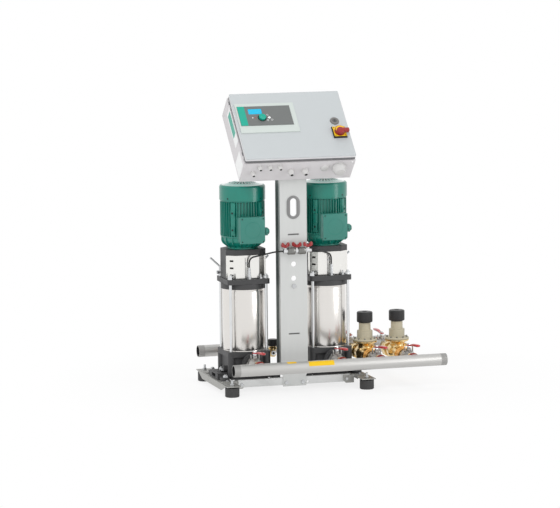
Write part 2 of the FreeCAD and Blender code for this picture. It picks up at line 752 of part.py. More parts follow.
def head_fittings():
    parts = []
    probe = fused([nut(14.0, probe_x, probe_y, flange_top, flange_top + 9),
                   upright(3.0, probe_x, probe_y, flange_top - thread_into, flange_top),
                   Part.makeCone(6.5, 4.6, probe_top - flange_top - 9, V(probe_x, probe_y, flange_top + 9))])
    parts.append(minus(probe, [upright(cable_r, probe_x, probe_y, probe_top - 12, probe_top)]))
    parts.append(fused([nut(13.0, vent_x, vent_y, flange_top, flange_top + 8),
                        upright(3.0, vent_x, vent_y, flange_top - thread_into, flange_top + 16)]))
    knob_z = flange_top + 15
    bend_z = flange_top + 34
    for side in (-1, 1):
        at = side * abs(fitting_x)
        bend = V(at, fitting_y, bend_z)
        parts.append(fused([upright(3.0, at, fitting_y, flange_top - thread_into, flange_top),
                            upright(5.0, at, fitting_y, flange_top, bend_z),
                            Part.makeSphere(5.0, bend),
                            rod(6.0, V(at, fitting_y, knob_z), V(at + side * 13, fitting_y, knob_z)),
                            rod(3.6, bend, bend.add(V(side * 36, 0, 33)))]))
    plug_end = -base_body_half - plug_boss_long
    parts.append(fused([rod(plug_thread_r, V(plug_end + thread_into, plug_y, plug_z), V(plug_end - 12, plug_y, plug_z)),
                        hex_bar(17.0, V(plug_end - 9, plug_y, plug_z), V(plug_end, plug_y, plug_z))]))
    screw_y = -guard_front_y - guard_sheet
    screw_z = guard_top - 28
    parts.append(rod(4.0, V(guard_split_x + 5.2, screw_y - 2.5, screw_z),
                     V(guard_split_x + 5.2, screw_y, screw_z)))
    return parts


def terminal_box():
    step = 2.0
    low = terminal_low + step
    high = terminal_high - step
    half = terminal_half - step
    lid_back = -terminal_front + terminal_lid
    body = minus(box(-half, half, lid_back, -terminal_back, low, high),
                 [box(-half + 3, half - 3, lid_back, -terminal_back - 3, low + 3, high - 3)])
    side_z = terminal_low + 43
    plug = hex_bar(27.0, V(half, -100, side_z), V(half + 18, -100, side_z))
    lid = minus(box(-terminal_half, terminal_half, -terminal_front, lid_back, terminal_low, terminal_high),
                [box(-half + 3, half - 3, -terminal_front + 3, lid_back, low + 3, high - 3)])
    ring_z = (terminal_low + terminal_high) / 2
    ring = minus(rod(28, V(0, -terminal_front - 1, ring_z), V(0, -terminal_front, ring_z)),
                 [rod(25, V(0, -terminal_front - 1, ring_z), V(0, -terminal_front, ring_z))])
    screws = []
    for sx in (-1, 1):
        for z in (terminal_low + 8, terminal_high - 8):
            screws.append(rod(4, V(sx * (terminal_half - 8), -terminal_front - 2, z),
                              V(sx * (terminal_half - 8), -terminal_front, z)))
    return [fused([body, plug]), fused([lid, ring] + screws)]


def at_pumps(shapes):
    return [moved(s, x, 0, 0) for x in pump_axes for s in shapes]


for side, x in zip(("left", "right"), pump_axes):
    save("pump_base_" + side, moved(pump_base(), x, 0, 0))
    save("pump_head_" + side, moved(pump_head(), x, 0, 0))
    save("motor_housing_" + side, moved(motor_housing(), x, 0, 0))
    save("rotor_" + side, moved(rotor(), x, 0, 0))
save("pump_sleeves", *at_pumps([sleeve()]))
save("fan_covers", *at_pumps([fan_cover()]))
save("tie_rods", *at_pumps(tie_rods()))
guard_pair = [guard(), spun(guard(), 0, 0, 180)]
save("coupling_guards", *at_pumps(guard_pair))
save("head_fittings", *at_pumps(head_fittings()))
save("terminal_boxes", *at_pumps(terminal_box()))

# Manifolds
drain_r = 9.0
drain_end_y = 172.0


def manifold(side, stub_xs, small_stub_x):
    left = manifold_mid_x - manifold_length / 2
    right = manifold_mid_x + manifold_length / 2
    y = side * manifold_y
    core = pipe_r - thread_depth
    inside = rod(pipe_r - pipe_wall, V(left, y, manifold_z), V(right, y, manifold_z))
    middle = rod(pipe_r, V(left + thread_length, y, manifold_z), V(right - thread_length, y, manifold_z))
    pipe = fused([rod(core, V(left, y, manifold_z), V(right, y, manifold_z)), middle])
    branches = [(x, stub_r, stub_bore_r, stub_end_y) for x in stub_xs]
    branches += [(x, drain_r, drain_r - 2.5, drain_end_y) for x in small_stub_x]
    sockets = []
    holes = [inside]
    for x, r, bore, end in branches:
        hole = rod(bore, V(x, y, manifold_z), V(x, side * end, manifold_z))
        sockets.append(minus(rod(r, V(x, y, manifold_z), V(x, side * end, manifold_z)), [middle, hole]))
        holes.append(hole)
    return [minus(pipe, holes)] + sockets


branch_xs = pump_axes + prv_axes
save("front_manifold", *manifold(-1, branch_xs, []))
save("rear_manifold", *manifold(1, branch_xs, [pumps_mid_x]))


# Ball valves, drawn for the rear side and mirrored for the front
def valve_body(x, inner_y, stem_y):
    hex_long = 13.0
    parts = [rod(valve_r - 1, V(x, inner_y, manifold_z), V(x, stub_end_y, manifold_z)),
             hex_bar(valve_hex, V(x, inner_y, manifold_z), V(x, inner_y + hex_long, manifold_z)),
             hex_bar(valve_hex, V(x, stub_end_y - hex_long, manifold_z), V(x, stub_end_y, manifold_z)),
             Part.makeSphere(ball_r, V(x, stem_y, manifold_z)),
             upright(boss_r, x, stem_y, manifold_z, boss_top)]
    for side in (-1, 1):
        parts.append(box(x + side * 13, x + side * 16, stem_y - 5, stem_y + 5, manifold_z + 10, boss_top + 6))
    parts.append(box(x - 16, x + 16, stem_y - 5, stem_y + 5, manifold_z + 20, manifold_z + 25))
    return minus(fused(parts), [rod(valve_bore_r, V(x, inner_y, manifold_z), V(x, stub_end_y, manifold_z)),
                                upright(stem_r + stem_play, x, stem_y, stem_low, boss_top)])


def lever(x, stem_y, side, turn):
    hub = upright(lever_hub_r, 0, 0, lever_low, lever_hub_top)
    stem = upright(stem_r, 0, 0, stem_low + 1, lever_low)
    arm_low = lever_arm_z - 2
    profile = [(0, arm_low), (grip_start - 6, arm_low + 1), (lever_length, arm_low + 3),
               (lever_length, arm_low + 11), (grip_start, arm_low + 9), (grip_start - 10, arm_low + 5),
               (0, arm_low + 5)]
    arm = polygon([(-grip_half + 3, y, z) for y, z in profile]).extrude(V(2 * grip_half - 6, 0, 0))
    grip = polygon([(-grip_half, y, z) for y, z in ((grip_start, arm_low + 1.5), (lever_length, arm_low + 3),
                                                  (lever_length, arm_low + 11), (grip_start, arm_low + 9))])
    shape = fused([hub, stem, arm, grip.extrude(V(2 * grip_half, 0, 0)),
                   nut(12.0, 0, 0, lever_hub_top, lever_hub_top + 4)])
    if side < 0:
        shape.rotate(V(0, 0, 0), Z_DIR, 180)
    shape.rotate(V(0, 0, 0), Z_DIR, turn)
    shape.translate(V(x, side * stem_y, 0))
    return shape


front_turn = 12.0
rear_turn = 3.0
prv_inner_y = 116.0
pump_valves = [valve_body(x, port_face_y, pump_stem_y) for x in pump_axes]
prv_valves = [valve_body(x, prv_inner_y, prv_stem_y) for x in prv_axes]
save("pump_valve_bodies", *(pump_valves + [mirrored_y(v) for v in pump_valves]))
save("prv_valve_bodies", *(prv_valves + [mirrored_y(v) for v in prv_valves]))
for place, axes, stem in (("pump", pump_axes, pump_stem_y), ("prv", prv_axes, prv_stem_y)):
    for side, x in zip(("left", "right"), axes):
        save(place + "_lever_front_" + side, lever(x, stem, -1, front_turn))
        save(place + "_lever_rear_" + side, lever(x, stem, 1, rear_turn))

# Pressure reducing valves
union_front = [-104.0, -76.0]
union_rear = [42.0, 80.0]
union_r = 30.0
tail_r = 17.0
prv_bore_r = 14.2


def prv_body(x):
    parts = [Part.makeSphere(prv_ball_r, V(x, prv_y, manifold_z)),
             rod(24, V(x, union_front[1] + 14, manifold_z), V(x, union_rear[0], manifold_z)),
             rod(tail_r, V(x, -prv_inner_y, manifold_z), V(x, prv_inner_y, manifold_z)),
             upright(prv_neck_r, x, prv_y, manifold_z, prv_rim_low),
             upright(prv_flange_r, x, prv_y, prv_rim_low, prv_flange_low),
             rod(7, V(x, prv_y, manifold_z), V(x + 16, -56, manifold_z + 14)),
             hex_bar(14, V(x + 16, -56, manifold_z + 14), V(x + 18, -61, manifold_z + 16))]
    cuts = [rod(prv_bore_r, V(x, -prv_inner_y, manifold_z), V(x, prv_inner_y, manifold_z)),
            upright(16, x, prv_y, manifold_z, prv_flange_low)]
    return minus(fused(parts), cuts)


def union_nut(x, ends, facets):
    if facets:
        ring = fused([hex_bar(2 * union_r * 0.94, V(x, ends[0], manifold_z), V(x, ends[1] - 12, manifold_z)),
                      rod(union_r - 4, V(x, ends[0], manifold_z), V(x, ends[1], manifold_z))])
    else:
        ring = rod(union_r, V(x, ends[0], manifold_z), V(x, ends[1], manifold_z))
    return minus(ring, [rod(tail_r, V(x, ends[0], manifold_z), V(x, ends[1], manifold_z))])


def prv_bonnet(x):
    shape = turned([(0, prv_flange_low), (prv_flange_r, prv_flange_low), (prv_flange_r, prv_flange_top),
                    (prv_lower_r, prv_flange_top), (prv_lower_r, prv_lower_top), (prv_upper_r, prv_lower_top),
                    (prv_upper_r, prv_upper_top), (0, prv_upper_top)], x, prv_y)
    cuts = [upright(16, x, prv_y, prv_flange_low, prv_lower_top + 6),
            upright(prv_stem_r + stem_play, x, prv_y, prv_lower_top, prv_upper_top)]
    screws = []
    for k in range(8):
        turn = math.radians(22.5 + 45 * k)
        at = V(x + 36 * math.cos(turn), prv_y + 36 * math.sin(turn), prv_flange_top)
        screws.append(Part.makeCylinder(3.6, 3.5, at))
    return minus(fused([shape] + screws), cuts)


def prv_cap(x):
    dish = prv_cap_top - 3
    shape = turned([(0, prv_cap_low - 20), (prv_stem_r, prv_cap_low - 20), (prv_stem_r, prv_cap_low),
                    (prv_cap_r - 1.5, prv_cap_low), (prv_cap_r, prv_cap_low + 2), (prv_cap_r, dish),
                    (prv_cap_r - 3, prv_cap_top), (prv_cap_r - 6, prv_cap_top), (prv_cap_r - 7, dish),
                    (0, dish + 1)], x, prv_y)
    return shape


save("prv_bodies", *[prv_body(x) for x in prv_axes])
save("prv_unions", *[union_nut(x, ends, facets) for x in prv_axes
                     for ends, facets in ((union_front, False), (union_rear, True))])
save("prv_bonnets", *[prv_bonnet(x) for x in prv_axes])
save("prv_cap_left", prv_cap(prv_axes[0]))
save("prv_cap_right", prv_cap(prv_axes[1]))

# Small drain valve on the rear manifold
drain_y = 150.0
drain_top = 124.6
drain_parts = [turned([(0, 78), (9, 78), (12, 84), (12, 108), (10, 112), (10, drain_top), (0, drain_top)],
                      pumps_mid_x, drain_y),
               hex_bar(22, V(pumps_mid_x, drain_y, manifold_z), V(pumps_mid_x, drain_end_y, manifold_z)),
               rod(7, V(pumps_mid_x, drain_y, manifold_z), V(pumps_mid_x - 24, drain_y - 6, manifold_z))]
drain_cuts = [rod(4, V(pumps_mid_x, drain_y, manifold_z), V(pumps_mid_x, drain_end_y, manifold_z)),
              upright(stem_r + stem_play, pumps_mid_x, drain_y, 104, drain_top)]
save("drain_valve_body", minus(fused(drain_parts), drain_cuts))
drain_ring = []
knurls = 18
for k in range(2 * knurls):
    turn = math.radians(180.0 / knurls * k)
    radius = 14.5 if k % 2 else 13.4
    drain_ring.append((pumps_mid_x + radius * math.cos(turn), drain_y + radius * math.sin(turn)))
save("drain_valve_cap", fused([slab(drain_ring, drain_top + 0.4, 141),
                               upright(stem_r, pumps_mid_x, drain_y, 106, drain_top + 0.4)]))


# Sensor cables: straight runs joined by tangent arcs
def cable(points):
    edges = []
    start = points[0]
    for k in range(1, len(points) - 1):
        into = points[k].sub(points[k - 1])
        away = points[k + 1].sub(points[k])
        half_turn = into.getAngle(away) / 2
        radius = 0.45 * min(into.Length, away.Length) / math.tan(half_turn)
        reach = radius * math.tan(half_turn)
        into.normalize()
        away.normalize()
        a = points[k].sub(into * reach)
        b = points[k].add(away * reach)
        inward = away.sub(into).normalize()
        middle = points[k].add(inward * (radius / math.cos(half_turn) - radius))
        edges += [Part.makeLine(start, a), Part.Arc(a, middle, b).toShape()]
        start = b
    edges.append(Part.makeLine(start, points[-1]))
    first = points[1].sub(points[0])
    ring = Part.Wire(Part.makeCircle(cable_r, points[0], first))
    return Part.Wire(edges).makePipeShell([ring], True, False, 2)


cable_rise = 466.0
cables = []
for px, tip, lead in ((pump_axes[0], tee_left, -25), (pump_axes[1], tee_right, 25)):
    inward = 12 if tip < 0 else -12
    cables.append(cable([V(px + probe_x, probe_y, probe_top - 12), V(px + probe_x, probe_y, cable_rise),
                         across(tip + lead), across(tip + inward)]))
save("sensor_cables", *cables)

# Cabinet
top = cabinet_height
back = -cabinet_depth
ring_back = cabinet_front - cabinet_sheet
shell = minus(box(-cabinet_half, cabinet_half, 0, top, back, ring_back),
              [box(-cabinet_half + cabinet_sheet, cabinet_half - cabinet_sheet, cabinet_sheet,
                   top - cabinet_sheet, back + cabinet_sheet, ring_back)])
frame_ring = minus(box(-cabinet_half, cabinet_half, 0, top, ring_back, cabinet_front),
                   [box(-cabinet_half + cabinet_lip, cabinet_half - cabinet_lip, cabinet_lip,
                        top - cabinet_lip, back, 0)])
hinge_x = -door_half


def knuckle(low, high, to_door):
    z1 = -door_depth if to_door else cabinet_front
    barrel = rod(hinge_knuckle_r, V(hinge_x, low, hinge_z), V(hinge_x, high, hinge_z))
    web = box(hinge_x, hinge_x + hinge_knuckle_r, low, high, hinge_z, z1)
    return fused([barrel, web])


body_knuckles = []
door_knuckles = []
pins = []
for low in hinge_low:
    body_knuckles.append(knuckle(low, low + knuckle_length, False))
    door_knuckles.append(knuckle(low + knuckle_length + knuckle_gap, low + 2 * knuckle_length, True))
    pins.append(rod(hinge_pin_r, V(hinge_x, low, hinge_z), V(hinge_x, low + 2 * knuckle_length, hinge_z)))
gland_spots = [(39.0, 68.0, 7.0, 18.0), (58.0, 38.0, 7.0, 18.0), (94.0, 38.0, 7.0, 18.0),
               (130.0, 38.0, 7.0, 18.0), (174.0, 65.0, 9.0, 22.0), (225.0, 65.0, 9.0, 22.0),
               (295.0, 57.0, 12.0, 6.0), (345.0, 53.0, 20.0, 30.0)]
gland_spots = [(along - cabinet_half, d, r, length) for along, d, r, length in gland_spots]
gland_holes = [rod(r, V(x, -9, -d), V(x, 9, -d)) for x, d, r, length in gland_spots]
plate_half = cabinet_half - 25
standoffs = [(sx * (plate_half - 10), y) for sx in (-1, 1) for y in (30.0, top - 30.0)]
plate_z = -104.0
plate_sheet = 2.0
pegs = [rod(5, V(x, y, back), V(x, y, plate_z - plate_sheet)) for x, y in standoffs]
body_cuts = gland_holes
body_cuts += [rod(small_bolt_r + bolt_play, V(x, y, back - 9), V(x, y, back + 9)) for x, y in head_bolts]
save("cabinet_body", in_cabinet(minus(fused([shell] + pegs), body_cuts)),
     in_cabinet(minus(fused([frame_ring] + body_knuckles), pins)))
save("hinge_pins", *[in_cabinet(p) for p in pins])
mount_plate = box(-plate_half, plate_half, 20, top - 20, plate_z - plate_sheet, plate_z)
save("mounting_plate", in_cabinet(mount_plate))
gear = []
for row_y, x0, count, wide, tall, deep in ((200.0, -150.0, 6, 26.0, 70.0, 48.0), (95.0, -150.0, 3, 42.0, 75.0, 58.0),
                                           (95.0, 10.0, 5, 20.0, 60.0, 40.0)):
    for k in range(count):
        gear.append(in_cabinet(box(x0 + k * (wide + 2), x0 + k * (wide + 2) + wide, row_y, row_y + tall,
                                   plate_z, plate_z + deep)))
gear.append(in_cabinet(box(10 - plate_half, plate_half - 10, 40, 60, plate_z, plate_z + 30)))
save("control_gear", *gear)

glands = []
for x, d, r, length in gland_spots:
    outside = hex_bar(2.2 * r, V(x, 0, -d), V(x, -length * 0.5, -d))
    dome = rod(r * 0.95, V(x, 0, -d), V(x, -length, -d))
    inside = rod(r, V(x, 0, -d), V(x, 9, -d))
    lock = hex_bar(2.2 * r, V(x, cabinet_sheet, -d), V(x, cabinet_sheet + 4, -d))
    gland = fused([outside, dome, inside, lock])
    if length > 10:
        gland = minus(gland, [rod(r * 0.5, V(x, -length, -d), V(x, 9, -d))])
    glands.append(in_cabinet(gland))
save("cable_glands", *glands)

# Door and what it carries
door_low = door_edge
door_high = top - door_edge
panel_spot = [16.0 - cabinet_half, 205.0 - cabinet_half, 149.5, 236.0]
frame_spot = [10.0 - cabinet_half, 222.0 - cabinet_half, 118.0, 250.0]
panel_rest = 3.0
knob_x = 97.4 - cabinet_half
knob_y = 183.0
knob_r = 13.0
lock_x = cabinet_half - 45.0
lock_y = 160.0
lock_r = 16.0
lock_core_r = 8.0
switch_x = cabinet_half - 40.0
switch_y = 107.0
switch_half = 24.5
switch_shaft_r = 4.0
hmi_step = 2.5
panel_step = 4.0
shaft_fit = 0.05

outer = rounded_slab(door_half, (door_high - door_low) / 2, door_corner, -door_depth, 0)
outer.translate(V(0, (door_low + door_high) / 2, 0))
hollow = box(-door_half + cabinet_sheet, door_half - cabinet_sheet, door_low + cabinet_sheet,
             door_high - cabinet_sheet, -door_depth, -cabinet_sheet)
window = box(panel_spot[0] + panel_rest, panel_spot[1] - panel_rest, panel_spot[2] + panel_rest,
             panel_spot[3] - panel_rest, -9, 9)
door_cuts = [hollow, window, rod(lock_core_r + 2, V(lock_x, lock_y, -9), V(lock_x, lock_y, 9)),
             rod(switch_shaft_r + 2, V(switch_x, switch_y, -9), V(switch_x, switch_y, 9))]
door_shape = fused([minus(outer, door_cuts)] + door_knuckles)
door_bores = [rod(hinge_pin_r + shaft_fit, p.BoundBox.Center.sub(V(0, knuckle_length, 0)),
                  p.BoundBox.Center.add(V(0, knuckle_length, 0))) for p in pins]
door_shape = minus(door_shape, door_bores)
lock_ring = minus(rod(lock_r, V(lock_x, lock_y, 0), V(lock_x, lock_y, 4)),
                  [rod(lock_core_r + shaft_fit, V(lock_x, lock_y, 0), V(lock_x, lock_y, 4))])
lock_barrel = minus(rod(lock_core_r + 2, V(lock_x, lock_y, -12), V(lock_x, lock_y, 0)),
                    [rod(lock_core_r + shaft_fit, V(lock_x, lock_y, -12), V(lock_x, lock_y, 0))])
save("cabinet_door", in_cabinet(door_shape))
save("lock_housing", in_cabinet(fused([lock_ring, lock_barrel])))
lock_core = rod(lock_core_r, V(lock_x, lock_y, -22), V(lock_x, lock_y, 3))
tongue = box(lock_x - 8, lock_x + 8, lock_y - 36, lock_y + 8, -27.4, -25.2)
lock_slot = box(lock_x - 1.2, lock_x + 1.2, lock_y - 5, lock_y + 5, 1, 9)
lock_core = minus(fused([lock_core, rod(lock_core_r - 2, V(lock_x, lock_y, -27), V(lock_x, lock_y, -20)),
                         tongue]), [lock_slot])
save("door_lock", in_cabinet(lock_core))

hmi_frame = minus(box(frame_spot[0], frame_spot[1], frame_spot[2], frame_spot[3], 0, hmi_step),
                  [box(panel_spot[0], panel_spot[1], panel_spot[2], panel_spot[3], -9, 9)])
save("hmi_frame", in_cabinet(hmi_frame))
panel = fused([box(panel_spot[0], panel_spot[1], panel_spot[2], panel_spot[3], 0, panel_step),
               box(panel_spot[0] + panel_rest + 0.5, panel_spot[1] - panel_rest - 0.5,
                   panel_spot[2] + panel_rest + 0.5, panel_spot[3] - panel_rest - 0.5, -14, panel_step)])
screen = box(panel_spot[0] + 36.5, panel_spot[0] + 85.5, 200, 224, panel_step - 1, panel_step + 9)
knob_hole = rod(switch_shaft_r + shaft_fit, V(knob_x, knob_y, -9), V(knob_x, knob_y, 9))
save("hmi_panel", in_cabinet(minus(panel, [screen, knob_hole])))
knob = fused([rod(knob_r, V(knob_x, knob_y, panel_step + 0.4), V(knob_x, knob_y, panel_step + 13)),
              rod(switch_shaft_r, V(knob_x, knob_y, -8), V(knob_x, knob_y, panel_step + 0.4))])
save("hmi_knob", in_cabinet(knob))

switch_plate = minus(box(switch_x - switch_half, switch_x + switch_half, switch_y - switch_half,
                         switch_y + switch_half, 0, 3),
                     [rod(switch_shaft_r + shaft_fit, V(switch_x, switch_y, -9), V(switch_x, switch_y, 9))])
save("switch_plate", in_cabinet(switch_plate))
handle = fused([rod(16, V(switch_x, switch_y, 3.4), V(switch_x, switch_y, 12)),
                rod(switch_shaft_r, V(switch_x, switch_y, -17), V(switch_x, switch_y, 3.4)),
                box(switch_x - 18, switch_x + 24, switch_y - 5, switch_y + 5, 8, 25)])
save("switch_handle", in_cabinet(handle))
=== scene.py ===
# The looks of the pressure maintenance unit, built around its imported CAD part.
# Pieces are drawn in millimetres and turned into metres when they are made.
import math

import bmesh
import bpy
from mathutils import Matrix, Vector


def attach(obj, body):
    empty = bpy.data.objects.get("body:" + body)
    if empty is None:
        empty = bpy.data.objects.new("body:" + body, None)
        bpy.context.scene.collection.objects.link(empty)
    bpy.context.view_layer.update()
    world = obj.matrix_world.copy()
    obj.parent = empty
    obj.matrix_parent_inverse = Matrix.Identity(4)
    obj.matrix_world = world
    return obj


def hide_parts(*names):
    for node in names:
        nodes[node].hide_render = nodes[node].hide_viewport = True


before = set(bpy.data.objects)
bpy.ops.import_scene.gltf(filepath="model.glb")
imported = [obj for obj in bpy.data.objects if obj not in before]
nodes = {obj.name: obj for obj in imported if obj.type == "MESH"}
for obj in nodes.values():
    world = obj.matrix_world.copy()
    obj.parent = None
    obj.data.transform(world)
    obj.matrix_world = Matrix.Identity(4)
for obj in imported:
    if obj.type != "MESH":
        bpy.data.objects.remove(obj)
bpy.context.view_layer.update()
scene = bpy.context.scene
MM = 0.001

# Camera, from the photo's own perspective
CAMERA_AT = Vector((-3.1354, -10.0515, 1.7845))
RIGHT = Vector((0.95754, -0.28815, -0.00957)).normalized()
AHEAD = Vector((0.28448, 0.94971, -0.13081)).normalized()
UP = RIGHT.cross(AHEAD)

camera_data = bpy.data.cameras.new("camera")
camera_data.sensor_width = 36.0
camera_data.lens = 193.2
camera_data.shift_x = -0.00727
camera_data.shift_y = 0.0329
camera_data.clip_end = 100.0
camera = bpy.data.objects.new("camera", camera_data)
scene.collection.objects.link(camera)
camera.matrix_world = Matrix((
    (RIGHT.x, UP.x, -AHEAD.x, CAMERA_AT.x),
    (RIGHT.y, UP.y, -AHEAD.y, CAMERA_AT.y),
    (RIGHT.z, UP.z, -AHEAD.z, CAMERA_AT.z),
    (0, 0, 0, 1)))
scene.camera = camera
scene.view_settings.view_transform = "Standard"

# Places that the CAD part gives, in millimetres. PRV is short for pressure reducing valve.
MID_X = -124.5
PUMPS = (-274.5, 25.5)
PRVS = (166.5, 286.5)
PRV_Y = -20.0
PIPE_Y = 235.0
PIPE_Z = 98.0
PIPE_ENDS = (-379.5, 394.5)
VALVE_END = 196.0
PUMP_PORT, PUMP_STEM = 100.0, 136.0
PRV_PORT, PRV_STEM = 116.0, 150.0
DRAIN_Y = 150.0
LID_FRONT = 130.0
LID_Z = 569.5
TEE_Y = -145.0
TEE_Z = 494.0
TEE_LEFT, TEE_RIGHT = -45.0, 56.0
WING_X = (-37.5, 3.5, 44.0)
COLUMN_FRONT = -117.5
DOOR_FOOT = (MID_X, -224.0, 824.0)
DOOR_TILT = math.radians(45)
TURN = 2 * math.pi


class Sock:
    """A shader socket that plain expressions can be written with."""

    def __init__(self, owner, socket):
        self.owner = owner
        self.socket = socket

    def _op(self, kind, a, b=0.0):
        node = self.owner.add("Math", {"operation": kind}, {0: a, 1: b})
        return Sock(self.owner, node.outputs[0])

    def __add__(self, other):
        return self._op("ADD", self, other)

    def __sub__(self, other):
        return self._op("SUBTRACT", self, other)

    def __rsub__(self, other):
        return self._op("SUBTRACT", other, self)

    def __mul__(self, other):
        return self._op("MULTIPLY", self, other)

    def __gt__(self, other):
        return self._op("GREATER_THAN", self, other)

    def __lt__(self, other):
        return self._op("LESS_THAN", self, other)

    __radd__ = __add__
    __rmul__ = __mul__

    def size(self):
        return self._op("ABSOLUTE", self)

    def clamped(self):
        return self._op("MAXIMUM", self._op("MINIMUM", self, 1.0), 0.0)


class Nodes:
    """A node tree that grows by one method."""

    def __init__(self, tree):
        self.tree = tree

    def add(self, kind, settings=None, inputs=None):
        node = self.tree.nodes.new(kind if "Node" in kind else "ShaderNode" + kind)
        for key, value in (settings or {}).items():
            setattr(node, key, value)
        for key, value in (inputs or {}).items():
            if isinstance(value, Sock):
                value = value.socket
            if isinstance(value, bpy.types.NodeSocket):
                self.tree.links.new(value, node.inputs[key])
            else:
                node.inputs[key].default_value = value
        return node


# The colour sockets of a Mix node, by number, because its other types share their names
MIX_FACTOR, MIX_FIRST, MIX_SECOND, MIX_RESULT = 0, 6, 7, 2


class Look(Nodes):
    """One procedural material on a principled shader."""

    def __init__(self, name, color, roughness=0.5, metallic=0.0, coat=0.0):
        self.material = bpy.data.materials.new(name)
        self.material.use_nodes = True
        super().__init__(self.material.node_tree)
        self.shader = self.tree.nodes["Principled BSDF"]
        self.color = tuple(color) + (1.0,)
        for key, value in (("Base Color", self.color), ("Roughness", roughness),
                           ("Metallic", metallic), ("Coat Weight", coat)):
            self.shader.inputs[key].default_value = value
        self.place = self.add("TexCoord").outputs["Object"]
        split = self.add("SeparateXYZ", inputs={0: self.place})
        self.x, self.y, self.z = [Sock(self, s) for s in split.outputs]

    def noise(self, scale, stretch=(1, 1, 1), detail=3.0):
        spread = self.add("Mapping", inputs={"Vector": self.place, "Scale": stretch})
        node = self.add("TexNoise", inputs={"Vector": spread.outputs[0], "Scale": scale,
                                            "Detail": detail})
        return Sock(self, node.outputs[0])

    def mix(self, factor, first, second):
        node = self.add("Mix", {"data_type": "RGBA"},
                        {MIX_FACTOR: factor, MIX_FIRST: first, MIX_SECOND: second})
        return node.outputs[MIX_RESULT]

    def blend(self, factor, other, base=None):
        """Mixes another colour into the base, which is the look's own unless it is given."""
        return self.mix(factor, self.color if base is None else base, tuple(other) + (1.0,))

    def paint(self, socket):
        self.tree.links.new(socket, self.shader.inputs["Base Color"])

    def rough(self, value):
        self.tree.links.new(value.socket, self.shader.inputs["Roughness"])

    def relief(self, height, depth, soft):
        """Bumps of a depth, on edges that look rounded by a soft radius."""
        edge = self.add("Bevel", {"samples": 4}, {"Radius": soft})
        bump = self.add("Bump", inputs={"Distance": depth, "Height": height,
                                        "Normal": edge.outputs[0]})
        self.tree.links.new(bump.outputs[0], self.shader.inputs["Normal"])


def srgb(r, g, b):
    """A linear colour from its values as a screen shows them, 0 to 255."""
    out = []
    for v in (r / 255.0, g / 255.0, b / 255.0):
        out.append(v / 12.92 if v <= 0.04045 else ((v + 0.055) / 1.055) ** 2.4)
    return tuple(out)


def painted(name, color, roughness, spread, coat=0.0, grain=900.0, depth=0.00012, soft=0.001):
    """Paint, plastic, rubber or a rough casting, a little cloudy and grained."""
    look = Look(name, color, roughness, 0.0, coat)
    cloud = look.noise(14.0)
    look.paint(look.blend((cloud - 0.35).clamped() * spread, tuple(c * 0.6 for c in color)))
    look.rough(cloud * 0.18 + (roughness - 0.09))
    look.relief(look.noise(grain, detail=2.0), depth, soft)
    return look.material


def metal(name, color, roughness, stretch=(1, 1, 1), scale=120.0, spread=0.25, metallic=1.0,
          depth=0.00004, soft=0.0008):
    """Sheet or turned metal with fine lines along its stretch."""
    look = Look(name, color, roughness, metallic)
    lines = look.noise(scale, stretch, 4.0)
    cloud = look.noise(9.0)
    look.paint(look.blend((lines - 0.4).clamped() * spread, tuple(c * 0.55 for c in color)))
    look.rough(lines * 0.16 + cloud * 0.12 + (roughness - 0.14))
    look.relief(lines, depth, soft)
    return look.material


def polished(name, color, roughness):
    """Smooth metal with a faint cloud."""
    look = Look(name, color, roughness, 1.0)
    cloud = look.noise(40.0)
    look.paint(look.blend((cloud - 0.4).clamped() * 0.5, tuple(c * 0.7 for c in color)))
    look.rough(cloud * 0.1 + (roughness - 0.05))
    return look.material


FLANK = 48.9
BEND_Y = -100.0


def column_look(name, color):
    """Galvanised sheet whose left flank, up to its front bend, has painted shade and a painted
    reflection of the motor, dark green-black and greyer towards the bottom.
    """
    look = Look(name, color, 0.42, 0.6)
    lines = look.noise(60.0, (1, 1, 0.15), 4.0)
    flank = (look.x < (MID_X - FLANK) * MM) * (look.y > BEND_Y * MM)
    low = (look.z * -8.0 + 1.6).clamped()
    # Painted shade and reflection of the motor on the left flank, blended to grey near the floor
    shade = look.blend(low * 0.4, (0.3, 0.3, 0.3), (0.035, 0.06, 0.055, 1.0))
    face = look.blend((lines - 0.4).clamped() * 0.12, tuple(c * 0.55 for c in color))
    look.paint(look.mix(flank, face, shade))
    look.rough(lines * 0.16 + 0.34)
    look.relief(lines, 0.00003, 0.0008)
    return look.material


def door_look(name, color, rim, gap_shade):
    """Painted sheet with a folded rim lightened as a painted highlight, and behind it a dark line
    of painted shade for the gap to the body.
    """
    look = Look(name, color, 0.4)
    cloud = look.noise(14.0)
    foot_y, foot_z = DOOR_FOOT[1] * MM, DOOR_FOOT[2] * MM
    above = (look.z - foot_z) * math.cos(DOOR_TILT) - (look.y - foot_y) * math.sin(DOOR_TILT)
    face = look.blend((cloud - 0.35).clamped() * 0.05, tuple(c * 0.6 for c in color))
    # The folded rim is lightened as a painted highlight, and deeper down a dark line of painted
    # shade stands for the gap to the body
    edge = look.blend(above < -0.0015, rim, face)
    look.paint(look.blend(above < -0.0092, gap_shade, edge))
    look.rough(cloud * 0.18 + 0.31)
    look.relief(look.noise(900.0, detail=2.0), 0.00012, 0.002)
    return look.material


def drawn_sheet(name, color, roughness):
    """Bright sheet with fine lines around it."""
    look = Look(name, color, roughness, 1.0)
    lines = look.noise(300.0, (0.03, 0.03, 1.0), 2.0)
    cloud = look.noise(11.0)
    look.paint(look.blend((lines - 0.45).clamped() * 0.15, tuple(c * 0.7 for c in color)))
    look.rough(lines * 0.05 + cloud * 0.05 + (roughness - 0.05))
    return look.material


THREAD = 22.0


